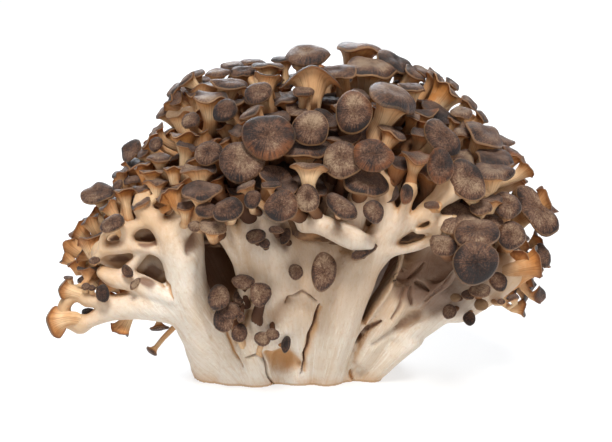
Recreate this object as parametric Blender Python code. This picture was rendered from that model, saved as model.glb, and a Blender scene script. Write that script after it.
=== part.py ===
"""A maitake mushroom, cut from its block and standing on the flat cut of its butt.

The whole cluster grew as one piece, so it is one solid: stout stems that share the butt, the branches
that they fork into, a dense heart where the branches crowd together, and a frond on every twig. A frond
is a stalk that flares into a round or fan-shaped cap. +X is to the right, +Y is to the back, +Z is up,
and the origin is in the middle of the cut face, on the surface that it stands on.
"""

import math
import random

import bmesh
import bpy
from mathutils import Matrix, Vector

MM = 0.001

# Driving dimensions of the crown, in millimetres: where the middles of the caps lie.
CROWN_MIDDLE = Vector((1.0, 2.0, 44.0))
CROWN_HALF_WIDTH = 85.0
CROWN_HALF_DEPTH = 68.0
CROWN_RISE = 72.0
CROWN_DROP = 40.0
CROWN_SQUARENESS = 1.9
CROWN_SLOPE_TO_LEFT = 0.28

# The heart, the crowded middle that the stalks stand out of: a dome with a shallow underside.
HEART_MIDDLE = Vector((2.0, 7.0, 58.0))
HEART_SIZE = Vector((70.0, 53.0, 50.0))
HEART_UNDERSIDE = 0.3
HEART_SEGMENTS = 14
HEART_RINGS = 8

STEM_SIDES = 9
BRANCH_SIDES = 7
FROND_SIDES = 6
CUT_DEPTH = 12.0

SEED = 3
CAP_COUNT = 150
CAP_TRIES = 9000
SCATTERED_SIZE = (8.8, 12.4)
CAP_SPACING = 0.74
RIM_WAVE = 0.14
PLAIN_CAP = 7.2
TIP_CAP = 1.6
TIP_LIFT = Vector((0.0, 0.0, 0.25))
LIMB_PULL = 0.75

# The stems, each a run of (x, y, z, half width, half depth) from the cut upwards.
STEMS = {
    "left": [
        (-23, -10, -4, 14, 13),
        (-30, -17, 14, 16, 12),
        (-37, -22, 34, 16, 11),
        (-38, -20, 54, 13, 11),
        (-30, -12, 72, 11, 10),
    ],
    "middle_left": [
        (-5, -16, -4, 13, 13),
        (-7, -23, 16, 15, 12),
        (-7, -29, 36, 16, 10),
        (-6, -28, 54, 13, 10),
        (-2, -18, 72, 10, 10),
    ],
    "middle_right": [
        (12, -16, -4, 11, 14),
        (17, -24, 16, 14, 12),
        (23, -30, 36, 14, 10),
        (30, -29, 54, 11, 9),
        (34, -20, 72, 9, 9),
    ],
    "right": [
        (19, -5, -4, 13, 14),
        (34, -12, 14, 14, 14),
        (49, -16, 30, 14, 13),
        (60, -14, 45, 12, 12),
        (60, -6, 60, 9, 10),
    ],
    "back_right": [
        (16, 14, -4, 14, 13),
        (25, 26, 16, 15, 12),
        (34, 37, 36, 14, 11),
        (38, 40, 56, 11, 10),
        (34, 32, 74, 10, 10),
    ],
    "back_middle": [
        (-2, 19, -4, 14, 12),
        (-3, 33, 16, 15, 11),
        (-5, 44, 38, 13, 10),
        (-6, 46, 58, 10, 10),
        (-4, 36, 76, 10, 10),
    ],
    "back_left": [
        (-20, 12, -4, 13, 13),
        (-31, 22, 15, 15, 12),
        (-42, 29, 34, 14, 11),
        (-46, 30, 54, 11, 10),
        (-38, 22, 72, 10, 10),
    ],
    "core": [
        (-1, 0, -4, 22, 16),
        (0, 4, 30, 28, 20),
        (2, 5, 50, 34, 24),
    ],
}

# The branches, each a run of (x, y, z, half width, half depth) that starts inside its stem.
BRANCHES = {
    "low_left": [(-40, -21, 22, 10, 8), (-58, -27, 25, 6.5, 6), (-73, -29, 23, 5, 5), (-84, -27, 22, 4.5, 4.5)],
    "low_left_finger": [(-62, -27, 26, 5, 5), (-74, -28, 32, 4.5, 4), (-82, -27, 37, 4, 4)],
    "mid_left": [(-42, -21, 38, 8, 7), (-60, -28, 42, 6, 5), (-74, -28, 43, 5, 4.5)],
    "high_left": [(-42, -20, 47, 7, 6), (-58, -27, 53, 5.5, 5), (-70, -26, 58, 5, 4)],
    "shoulder_left": [(-40, -19, 54, 8, 7), (-50, -30, 63, 7, 5), (-56, -33, 70, 6, 5)],
    "inner_left": [(-33, -18, 50, 8, 7), (-29, -33, 60, 6, 5), (-26, -40, 68, 5, 5)],
    "front_left": [(-7, -28, 46, 8, 6), (-13, -40, 58, 6, 5), (-16, -46, 66, 5, 5)],
    "front_middle": [(2, -28, 46, 8, 6), (8, -42, 54, 6, 5), (12, -48, 60, 5, 5)],
    "tall_middle": [(20, -30, 60, 7, 7), (27, -46, 74, 5.5, 5.5), (31, -50, 92, 6, 6)],
    "front_right": [(26, -29, 48, 8, 6), (29, -40, 60, 6, 5), (27, -46, 70, 5.5, 5)],
    "reaching_right": [(30, -29, 48, 7, 6), (41, -37, 55, 5, 5), (52, -38, 64, 4.5, 4.5)],
    "arm_right": [(34, -31, 48, 5, 5), (45, -38, 49, 4, 4), (50, -41, 57, 3.5, 3.5)],
    "low_right": [(54, -15, 32, 9, 9), (66, -18, 38, 7, 7), (74, -18, 44, 6, 6)],
    "side_right": [(50, 4, 34, 10, 10), (66, 10, 42, 7, 7), (74, 12, 50, 6, 6)],
    "side_left": [(-44, 4, 34, 10, 10), (-62, 8, 40, 7, 7), (-74, 8, 46, 6, 6)],
    "back_low_left": [(-42, 30, 34, 8, 8), (-54, 38, 40, 6, 6), (-62, 42, 46, 5, 5)],
    "back_low_middle": [(-6, 46, 38, 8, 8), (-10, 56, 44, 6, 6), (-12, 62, 50, 5, 5)],
    "back_low_right": [(34, 38, 36, 8, 8), (46, 46, 42, 6, 6), (54, 50, 48, 5, 5)],
}


def crown_axes(direction):
    """The half sizes of the crown and the power of its outline towards a direction from its middle."""
    rise = CROWN_RISE if direction.z > 0 else CROWN_DROP
    power = CROWN_SQUARENESS + CROWN_SLOPE_TO_LEFT * direction.normalized().x
    return Vector((CROWN_HALF_WIDTH, CROWN_HALF_DEPTH, rise)), power


def crown_point(direction):
    """The point of the crown's surface that lies in a direction from its middle."""
    half, power = crown_axes(direction)
    total = sum((abs(d) / h) ** power for d, h in zip(direction, half))
    return CROWN_MIDDLE + direction * total ** (-1 / power)


def unit_ring(bm, sides):
    """A ring of edges round the unit circle: the section that a loft starts from."""
    made = bmesh.ops.create_circle(bm, cap_ends=False, segments=sides, radius=1.0)
    edges = {edge for vert in made["verts"] for edge in vert.link_edges}
    return made["verts"], list(edges)


def loft(bm, placements, sides):
    """A closed tube through unit circles, each one placed and stretched by its matrix. Returns its last face."""
    verts, edges = unit_ring(bm, sides)
    bmesh.ops.contextual_create(bm, geom=edges)
    bmesh.ops.transform(bm, matrix=placements[0], verts=verts)
    for before, after in zip(placements, placements[1:]):
        made = bmesh.ops.extrude_edge_only(bm, edges=edges)["geom"]
        verts = [item for item in made if isinstance(item, bmesh.types.BMVert)]
        edges = [item for item in made if isinstance(item, bmesh.types.BMEdge)]
        bmesh.ops.transform(bm, matrix=after @ before.inverted(), verts=verts)
    return bmesh.ops.contextual_create(bm, geom=edges)["faces"][0]


def placed(middle, out, side, half_width, half_height):
    """The matrix that puts a unit circle at a middle, facing out, with its first axis towards side."""
    out = out.normalized()
    up = out.cross(side).normalized()
    side = up.cross(out).normalized()
    turn = Matrix((side, up, out)).transposed().to_4x4()
    return Matrix.Translation(middle * MM) @ turn @ Matrix.Diagonal((half_width * MM, half_height * MM, MM, 1.0))


def solid(name, bm, collection):
    """A closed mesh object from a bmesh, with its faces pointing out."""
    bmesh.ops.recalc_face_normals(bm, faces=bm.faces)
    mesh = bpy.data.meshes.new(name)
    bm.to_mesh(mesh)
    bm.free()
    obj = bpy.data.objects.new(name, mesh)
    collection.objects.link(obj)
    return obj


def limb(name, run, sides, collection):
    """A stem or a branch: an oval tube along a run of points, with a section square to it at each."""
    points = [Vector(p[:3]) for p in run]
    placements = []
    for i, (x, y, z, half_width, half_depth) in enumerate(run):
        along = points[min(i + 1, len(points) - 1)] - points[max(i - 1, 0)]
        side = Vector((0, 0, 1)) if abs(along.normalized().z) < 0.6 else Vector((1, 0, 0))
        placements.append(placed(points[i], along, side, half_width, half_depth))
    bm = bmesh.new()
    loft(bm, placements, sides)
    return solid(name, bm, collection)


def heart(collection):
    """The crowded middle of the crown, a low dome."""
    bm = bmesh.new()
    size = Matrix.Diagonal((*HEART_SIZE * MM, 1.0))
    place = Matrix.Translation(HEART_MIDDLE * MM) @ size
    bmesh.ops.create_uvsphere(bm, u_segments=HEART_SEGMENTS, v_segments=HEART_RINGS, radius=1.0)
    for vert in bm.verts:
        vert.co.z *= HEART_UNDERSIDE if vert.co.z < 0 else 1.0
    bmesh.ops.transform(bm, matrix=place, verts=bm.verts)
    return solid("heart", bm, collection)


class Cap:
    """Where a frond's cap is, in millimetres: its middle, the way that it faces and its half sizes."""

    def __init__(self, middle, facing, half_width, half_height, lean=0.0):
        self.middle = middle
        self.facing = facing.normalized()
        self.half_width = half_width
        self.half_height = half_height
        self.lean = lean
        across = Vector((0, 0, 1)).cross(self.facing)
        self.side = across.normalized() if across.length > 0.1 else Vector((1, 0, 0))

    @property
    def reach(self):
        """The mean half size."""
        return (self.half_width + self.half_height) / 2


# The caps that show best from the front: (x, z, half width, half height, yaw, pitch, depth below the crown's
# surface). Yaw turns the cap to the right of straight ahead, and pitch turns it up.
FRONT_CAPS = [
    (-13, 91, 10, 9, -8, 12, 0),
    (3, 94, 7, 7, 4, 8, 3),
    (19, 100, 7.5, 8.5, 8, 20, 2),
    (26, 84, 8.5, 6.5, 6, -12, -4),
    (-23, 82, 9, 9, -14, 10, 5),
    (15, 83, 7.5, 9.5, -6, 0, 6),
    (4, 80, 8, 7, 2, 50, 5),
    (34, 104, 11, 8, 24, 48, 1),
    (1, 117, 8.5, 8, 0, 62, 0),
    (19, 115, 11, 8, 8, 76, 0),
    (-16, 106, 7, 6, -12, 40, 2),
    (-29, 111, 8, 7, -10, 70, 0),
    (-15, 114, 8, 7, 0, 78, 0),
    (36, 112, 9, 7, 20, 64, 0),
    (51, 106, 7, 6, 40, 56, 0),
    (44, 93, 6, 6, 14, 20, 2),
    (-7, 64, 6.5, 6.5, -4, 2, 0),
    (2, 68, 5, 6, 10, 0, 1),
    (-27, 64, 5.5, 5.5, -18, 10, 0),
    (-37, 72, 7, 5, -24, 24, 0),
    (-10, 75, 6, 5, -6, 36, 2),
    (15, 66, 5, 6, 16, -4, 3),
    (40, 72, 5, 6, 12, 0, 3),
    (8, 42, 5, 7.5, 4, 4, -1),
    (62, 45, 8, 8.5, 20, 4, -3),
    (63, 56, 8, 7, 22, 18, 3),
    (76, 54, 5.5, 5.5, 26, 4, 0),
    (58, 75, 8, 8, 20, 16, -3),
    (50, 80, 5.5, 7.5, 8, 2, -5),
    (50, 91, 7.5, 7, 26, 24, 0),
    (68, 91, 9, 6, 44, 44, 2),
    (71, 81, 9, 6, 40, 34, 3),
    (75, 65, 6, 6, 34, 16, 3),
    (85, 64, 6, 10, 62, 12, 6),
    (84, 44, 5, 8, 66, -4, 4),
    (70, 38, 5, 5, 30, -10, 0),
    (-73, 69, 6, 6, -44, 34, 0),
    (-67, 58, 6, 5, -30, 24, 0),
    (-72, 33, 4.5, 5, -16, 4, 0),
    (-57, 68, 7, 5, -26, 50, 0),
    (-84, 51, 6, 6, -50, 30, 4),
    (-80, 61, 5, 6, -40, 10, 2),
    (-66, 48, 4.5, 5, -20, 10, 2),
    (-56, 58, 5, 4, -10, 40, 4),
    (-47, 70, 6, 5, -10, 40, 2),
    (-67, 76, 6, 5, -44, 50, 2),
    (-30, 103, 9, 6, -18, 56, 0),
    (-27, 97, 7, 7, -20, 36, 0),
    (-34, 84, 7, 7, -18, 24, 0),
    (-47, 96, 8, 6, -30, 52, 0),
    (-49, 82, 7, 6, -28, 44, 0),
    (-60, 82, 7, 6, -50, 40, 0),
    (-29, 32, 4.5, 5, -12, 8, 8),
    (-21, 38, 4.5, 4, 2, 20, 6),
    (-15, 32, 4.5, 5, 12, 4, 6),
    (-28, 24, 4.5, 5, -16, -10, 6),
    (-12, 19, 5, 4, 8, -20, 4),
]
TRUNK_FRONT = -32.0


def facing_of(yaw, pitch):
    """The unit vector of a yaw to the right of the front and a pitch up, in degrees."""
    yaw, pitch = math.radians(yaw), math.radians(pitch)
    return Vector((math.sin(yaw) * math.cos(pitch), -math.cos(yaw) * math.cos(pitch), math.sin(pitch)))


def crown_front(x, z):
    """How far to the front the crown's surface is at a place seen from the front."""
    low, high = -CROWN_HALF_DEPTH * 1.2, 0.0
    for _ in range(30):
        middle = (low + high) / 2
        direction = Vector((x, middle, z)) - CROWN_MIDDLE
        outside = (crown_point(direction) - CROWN_MIDDLE).length < direction.length
        low, high = (middle, high) if outside else (low, middle)
    return high


def front_caps():
    """The caps that are placed one by one."""
    caps = []
    for x, z, half_width, half_height, yaw, pitch, depth in FRONT_CAPS:
        y = crown_front(x, z) + depth
        if z < 50 and -35 < x < 20:
            y = TRUNK_FRONT - depth
        caps.append(Cap(Vector((x, y, z)), facing_of(yaw, pitch), half_width, half_height))
    return caps


def tip_caps():
    """A cap on the end of every branch, facing the way that the branch grows."""
    caps = []
    for run in BRANCHES.values():
        before, tip = Vector(run[-2][:3]), Vector(run[-1][:3])
        along = (tip - before).normalized()
        reach = TIP_CAP * (run[-1][3] + run[-1][4]) / 2
        caps.append(Cap(tip + along * 0.5 * reach, along + TIP_LIFT, reach, 0.85 * reach))
    return caps


def lowest_cap(direction):
    """How low the crown reaches on a side: it is cut high over the front of the stems."""
    turn = math.degrees(math.atan2(direction.x - 0.05, -direction.y))
    return 27.0 + 36.0 * math.exp(-((turn / 40.0) ** 2)) + 8.0 * math.exp(-(((abs(turn) - 180.0) / 50.0) ** 2))


def scattered_caps(caps, count, rng):
    """More caps over the crown, set as close as their sizes let them, each facing out and a little up."""
    caps = list(caps)
    for _ in range(CAP_TRIES):
        if len(caps) >= count:
            break
        up = rng.uniform(-0.35, 1.0)
        turn = rng.uniform(0, 2 * math.pi)
        level = math.sqrt(1 - up * up)
        direction = Vector((level * math.cos(turn), level * math.sin(turn), up))
        point = crown_point(direction)
        size = rng.uniform(*SCATTERED_SIZE) - 1.6 * max(0.0, -direction.x)
        inset = rng.uniform(0.0, 6.0)
        lean = rng.uniform(0.0, 0.45)
        tilt = Vector((rng.gauss(0, 1), rng.gauss(0, 1), rng.gauss(0, 1))) * 0.2
        slim = rng.uniform(0.72, 1.0)
        if point.z < lowest_cap(direction):
            continue
        if any((point - cap.middle).length < CAP_SPACING * (size + cap.reach) for cap in caps):
            continue
        out = Vector((p / h**2 for p, h in zip(point - CROWN_MIDDLE, crown_axes(direction)[0]))).normalized()
        facing = (out + Vector((0, 0, 0.3)) + tilt).normalized()
        caps.append(Cap(point - out * inset, facing, size, size * slim, lean))
    return caps


def anchors():
    """Points along every stem and branch, which stalks can grow from."""
    points = []
    for run in list(STEMS.values()) + list(BRANCHES.values()):
        for a, b in zip(run, run[1:]):
            a, b = Vector(a[:3]), Vector(b[:3])
            points += [a.lerp(b, share) for share in (0.0, 0.25, 0.5, 0.75, 1.0)]
    return points


def root_of(cap, points):
    """Where a frond's stalk starts: well inside the nearest limb, or in the heart if that is nearer."""
    below = cap.middle - cap.facing * cap.reach * 1.6
    nearest = min(points, key=lambda point: (point - below).length)
    inward = below - HEART_MIDDLE
    share = math.sqrt(sum((i / h) ** 2 for i, h in zip(inward, HEART_SIZE)))
    in_heart = HEART_MIDDLE + inward * min(1.0, 0.82 / max(share, 0.01))
    on_limb = LIMB_PULL * (nearest - below).length < (in_heart - below).length
    return nearest if on_limb else in_heart


def wave_rim(bm, cap):
    """Draws the rim in and out, so that no two caps are the same round."""
    for vert in bm.verts:
        across = vert.co / MM - cap.middle
        if abs(across.dot(cap.facing)) < 0.01 * cap.reach:
            turn = math.atan2(across.dot(cap.facing.cross(cap.side)), across.dot(cap.side))
            wave = math.sin(2 * turn + cap.middle.x) + 0.7 * math.sin(3 * turn + cap.middle.z)
            vert.co += across * RIM_WAVE * wave * MM


def frond(name, cap, root, collection):
    """A stalk that flares into a cap: a loft through its root, its neck, its rim and its shoulder, then a dome."""
    width, height = cap.half_width, cap.half_height
    neck_half = 0.44 * min(width, height)
    up = cap.facing.cross(cap.side)
    neck = cap.middle - cap.facing * 0.62 * cap.reach + up * cap.lean * height
    along = neck - root
    placements = [
        placed(root, along, cap.side, neck_half, neck_half),
        placed(neck, along.normalized() + cap.facing, cap.side, neck_half, neck_half),
        placed(cap.middle, cap.facing, cap.side, width, height),
    ]
    shoulder = placed(cap.middle + cap.facing * 0.24 * cap.reach, cap.facing, cap.side, 0.66 * width, 0.66 * height)
    plain = cap.reach < PLAIN_CAP
    bm = bmesh.new()
    top = loft(bm, placements if plain else placements + [shoulder], FROND_SIDES)
    wave_rim(bm, cap)
    bmesh.ops.recalc_face_normals(bm, faces=bm.faces)
    bmesh.ops.poke(bm, faces=[top], offset=(0.3 if plain else 0.12) * cap.reach * MM)
    return solid(name, bm, collection)


def joined(name, target, others):
    """Every solid of a collection united with the target into one body."""
    union = target.modifiers.new(name, "BOOLEAN")
    union.operation = "UNION"
    union.operand_type = "COLLECTION"
    union.collection = others
    union.solver = "MANIFOLD"
    apply(target)
    for obj in list(others.objects):
        bpy.data.objects.remove(obj)
    bpy.data.collections.remove(others)


def one_body(obj):
    """Leaves the largest shell alone: hollows that the union sealed are filled, and loose scraps dropped."""
    bm = bmesh.new()
    bm.from_mesh(obj.data)
    unseen = set(bm.verts)
    shells = []
    while unseen:
        edge_of_shell = [unseen.pop()]
        shell = set(edge_of_shell)
        while edge_of_shell:
            vert = edge_of_shell.pop()
            for edge in vert.link_edges:
                other = edge.other_vert(vert)
                if other in unseen:
                    unseen.remove(other)
                    shell.add(other)
                    edge_of_shell.append(other)
        shells.append(shell)
    largest = max(shells, key=len)
    spare = [vert for shell in shells if shell is not largest for vert in shell]
    bmesh.ops.delete(bm, geom=spare, context="VERTS")
    bm.to_mesh(obj.data)
    bm.free()


def apply(obj):
    """The object's modifiers made part of its mesh."""
    graph = bpy.context.evaluated_depsgraph_get()
    mesh = bpy.data.meshes.new_from_object(obj.evaluated_get(graph))
    obj.modifiers.clear()
    obj.data = mesh


def cut_flat(obj, cutters):
    """The knife's cut across the butt, level with the surface that the mushroom stands on."""
    bm = bmesh.new()
    place = Matrix.Translation((0, 0, -CUT_DEPTH * MM / 2)) @ Matrix.Diagonal((0.3, 0.3, CUT_DEPTH * MM, 1.0))
    bmesh.ops.create_cube(bm, size=1.0, matrix=place)
    knife = solid("knife", bm, cutters)
    knife.hide_render = True
    knife.display_type = "WIRE"
    cut = obj.modifiers.new("cut", "BOOLEAN")
    cut.operation = "DIFFERENCE"
    cut.object = knife
    cut.solver = "MANIFOLD"
    apply(obj)
    bpy.data.objects.remove(knife)


def flesh():
    """Cream flesh, matt."""
    material = bpy.data.materials.new("flesh")
    material.use_nodes = True
    shader = material.node_tree.nodes["Principled BSDF"]
    shader.inputs["Base Color"].default_value = (0.72, 0.55, 0.38, 1.0)
    shader.inputs["Roughness"].default_value = 0.6
    return material


def main():
    """Builds the mushroom."""
    for obj in list(bpy.data.objects):
        bpy.data.objects.remove(obj)
    scene = bpy.context.scene
    shown = bpy.data.collections.new("maitake_mushroom")
    scene.collection.children.link(shown)
    pieces = bpy.data.collections.new("pieces")
    scene.collection.children.link(pieces)

    mushroom = heart(shown)
    mushroom.name = "fruiting_body"
    for name, run in STEMS.items():
        limb(name, run, STEM_SIDES, pieces)
    for name, run in BRANCHES.items():
        limb(name, run, BRANCH_SIDES, pieces)
    caps = scattered_caps(front_caps() + tip_caps(), CAP_COUNT, random.Random(SEED))
    points = anchors()
    for number, cap in enumerate(caps):
        frond(f"frond_{number:03d}", cap, root_of(cap, points), pieces)
    joined("grown_together", mushroom, pieces)
    cut_flat(mushroom, shown)
    one_body(mushroom)
    mushroom.data.materials.clear()
    mushroom.data.materials.append(flesh())


main()
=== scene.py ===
"""The looks of a maitake mushroom: smooth webbed stems, a crown of thin-rimmed fronds, and their finishes.

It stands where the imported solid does, at its size to within 3%. The back stems and the six branches repeat
rows of the solid's, and the scattered fronds follow its rule, though not always its places. The front stems
and the front fronds differ from it and have rows of their own. All the stems are one webbed mass of flesh,
every frond has a flared stalk and a thin cap, and small fronds fill in between. Sizes are in millimetres,
apart from the studio's: +X to the right, +Y to the back and +Z up.
"""

import logging
import math
import random
from dataclasses import dataclass, field
from enum import Enum

import bmesh
import bpy
import numpy as np
import openvdb
from mathutils import Matrix, Vector, noise

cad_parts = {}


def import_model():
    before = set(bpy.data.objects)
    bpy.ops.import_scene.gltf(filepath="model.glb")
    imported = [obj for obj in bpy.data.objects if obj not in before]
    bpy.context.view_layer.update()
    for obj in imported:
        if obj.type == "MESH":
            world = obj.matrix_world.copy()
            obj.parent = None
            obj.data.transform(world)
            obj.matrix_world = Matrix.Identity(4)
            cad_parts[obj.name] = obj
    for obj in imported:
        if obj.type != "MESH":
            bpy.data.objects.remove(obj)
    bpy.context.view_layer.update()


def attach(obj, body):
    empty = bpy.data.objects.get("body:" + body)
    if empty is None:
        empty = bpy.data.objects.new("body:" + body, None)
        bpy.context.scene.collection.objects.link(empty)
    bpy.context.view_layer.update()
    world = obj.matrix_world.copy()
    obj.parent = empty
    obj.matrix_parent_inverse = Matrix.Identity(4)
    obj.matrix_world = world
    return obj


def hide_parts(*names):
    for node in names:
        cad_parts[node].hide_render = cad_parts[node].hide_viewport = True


LOG = logging.getLogger("maitake")
MM = 0.001
NODE = "fruiting_body"
BODY = "root"
FAR = 30.0
WEB_MARGIN = 3.0

# A stem or branch is a run of (x, y, z, half width, half depth) from its root upwards.
Run = list[tuple[float, float, float, float, float]]

# A station along a limb: its middle, the direction of its half width, its half width and its half depth.
Station = tuple[Vector, Vector, float, float]

# A seam: the places along its line as (x, z), its half width, its depth and its colour.
Seam = tuple[tuple[tuple[float, float], ...], float, float, float]


def placed(name: str, data: bpy.types.ID) -> bpy.types.Object:
    """Puts a mesh, a light or a camera into the scene."""
    thing = bpy.data.objects.new(name, data)
    bpy.context.scene.collection.objects.link(thing)
    return thing


def mesh_of(bm: bmesh.types.BMesh, name: str) -> bpy.types.Mesh:
    """Turns a bmesh into a mesh, and frees it."""
    mesh = bpy.data.meshes.new(name)
    bm.to_mesh(mesh)
    bm.free()
    return mesh


def set_mark(mesh: bpy.types.Mesh, name: str, values: np.ndarray) -> None:
    """Gives each point of a mesh a value that its material reads."""
    mesh.attributes.new(name, "FLOAT", "POINT").data.foreach_set("value", values)


# ---------------------------------------------------------------------------------------------------------
# The crown's outline and the fronds that stand on it.
# ---------------------------------------------------------------------------------------------------------


@dataclass(frozen=True)
class FormShape:
    """How a cap is bent, as shares of its mean half size.

    cushion is how thick the middle is, with a rounded edge, cup sinks the whole cap into a bowl, dip sinks
    the navel, ruffle waves the rim up and down, lobes wave its outline, fold bends it along its middle,
    offset moves the stalk off centre, and depth, flare and neck shape the trumpet below.
    """

    cushion: float = 0.30
    cup: float = 0.0
    dip: float = 0.10
    ruffle: float = 0.05
    waves: int = 3
    lobes: float = 0.07
    fold: float = 0.0
    offset: float = 0.15
    depth: float = 1.1
    flare: float = 2.4
    neck: float = 0.42


class Form(Enum):
    """The kinds of frond."""

    ROUND = FormShape(cushion=0.36, depth=0.9, flare=3.4, neck=0.40)
    FLAT = FormShape(cushion=0.28, dip=0.08, ruffle=0.09, lobes=0.10, depth=0.9, flare=3.2, neck=0.44)
    FUNNEL = FormShape(
        cushion=0.10, cup=0.26, dip=0.06, ruffle=0.08, lobes=0.10, depth=1.3, flare=2.4, neck=0.46
    )
    FAN = FormShape(
        cushion=0.18, cup=0.04, dip=0.0, ruffle=0.12, waves=4, lobes=0.14, offset=0.30,
        depth=1.3, flare=2.6, neck=0.48,
    )
    RUFFLED = FormShape(
        cushion=0.16, cup=0.10, dip=0.03, ruffle=0.17, waves=3, lobes=0.14, offset=0.22,
        depth=1.2, flare=2.4, neck=0.50,
    )
    FOLDED = FormShape(
        cushion=0.20, dip=0.0, ruffle=0.08, lobes=0.10, fold=0.26, offset=0.15,
        depth=1.2, flare=2.6, neck=0.46,
    )
    DROOPING = FormShape(
        cushion=0.12, dip=0.0, ruffle=0.03, lobes=0.05, fold=-0.60, offset=0.0,
        depth=1.5, flare=3.2, neck=0.36,
    )


@dataclass
class Cap:
    """Where a frond's cap is: its middle, the way that it faces, its half sizes and its form."""

    middle: Vector
    facing: Vector
    half_width: float
    half_height: float
    lean: float = 0.0
    form: Form = Form.ROUND
    roll: float = 0.0
    tone: float = 0.5
    root: Vector | None = None

    def __post_init__(self) -> None:
        """Sets the cap's own axes."""
        self.facing = self.facing.normalized()
        across = Vector((0, 0, 1)).cross(self.facing)
        self.side = across.normalized() if across.length > 0.1 else Vector((1, 0, 0))
        if self.roll:
            self.side = (Matrix.Rotation(math.radians(self.roll), 3, self.facing) @ self.side).normalized()

    @property
    def reach(self) -> float:
        """The mean half size."""
        return (self.half_width + self.half_height) / 2


@dataclass(frozen=True)
class CrownOutline:
    """The surface that the middles of the caps lie on: a superellipsoid, lower and squarer to one side."""

    middle: tuple[float, float, float] = (1.0, 2.0, 44.0)
    half_width: float = 85.0
    half_depth: float = 68.0
    rise: float = 72.0
    drop: float = 40.0
    squareness: float = 1.9
    slope: float = 0.28

    def axes(self, direction: Vector) -> tuple[Vector, float]:
        """The half sizes and the power of the outline towards a direction.

        Args:
            direction: the direction from the crown's middle.

        Returns:
            The half sizes along X, Y and Z, and the power.
        """
        rise = self.rise if direction.z > 0 else self.drop
        power = self.squareness + self.slope * direction.normalized().x
        return Vector((self.half_width, self.half_depth, rise)), power

    def point(self, direction: Vector) -> Vector:
        """The point of the surface that lies in a direction from the crown's middle.

        Args:
            direction: the direction, of any length but zero.

        Returns:
            The point.
        """
        half, power = self.axes(direction)
        total = sum((abs(d) / h) ** power for d, h in zip(direction, half))
        return Vector(self.middle) + direction * total ** (-1 / power)

    def outward(self, direction: Vector, point: Vector) -> Vector:
        """The way out of the crown at one of its points.

        Args:
            direction: the direction of the point from the crown's middle.
            point: the point.

        Returns:
            A unit vector.
        """
        half = self.axes(direction)[0]
        return Vector((p / h**2 for p, h in zip(point - Vector(self.middle), half))).normalized()

    def depth(self, points: np.ndarray) -> np.ndarray:
        """How deep points lie below the caps.

        Args:
            points: an array of points, one a row.

        Returns:
            The depth of each, from 0 at the caps' level to 1 at the crown's middle.
        """
        away = points - np.array(self.middle)
        half = np.empty_like(away)
        half[:, 0], half[:, 1] = self.half_width, self.half_depth
        half[:, 2] = np.where(away[:, 2] > 0, self.rise, self.drop)
        length = np.maximum(np.linalg.norm(away, axis=1), 1e-6)
        power = (self.squareness + self.slope * away[:, 0] / length)[:, None]
        share = ((np.abs(away) / half) ** power).sum(axis=1) ** (1 / power[:, 0])
        return np.clip(1.0 - share, 0.0, 1.0)


def draw_direction(rng: random.Random, lowest: float) -> Vector:
    """A random direction, no lower than a share of its length."""
    up, turn = rng.uniform(lowest, 1.0), rng.uniform(0, 2 * math.pi)
    level = math.sqrt(1 - up * up)
    return Vector((level * math.cos(turn), level * math.sin(turn), up))


def draw_tilt(rng: random.Random, amount: float) -> Vector:
    """A random nudge to a direction."""
    return Vector((rng.gauss(0, 1), rng.gauss(0, 1), rng.gauss(0, 1))) * amount


def is_crowded(middle: Vector, size: float, spacing: float, caps: list[Cap]) -> bool:
    """Whether a cap of a size would stand too close to others, at a share of their sizes together."""
    return any((middle - cap.middle).length < spacing * (size + cap.reach) for cap in caps)


def facing_of(yaw: float, pitch: float) -> Vector:
    """The unit vector of a yaw to the right of the front and a pitch up, in degrees."""
    yaw, pitch = math.radians(yaw), math.radians(pitch)
    return Vector((math.sin(yaw) * math.cos(pitch), -math.cos(yaw) * math.cos(pitch), math.sin(pitch)))


ROUND, FLAT, FUNNEL, FAN, RUFFLED, FOLDED, DROOPING = Form


FrontRow = tuple[float, float, float, float, float, float, float, float, Form, float, tuple | None]


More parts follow.
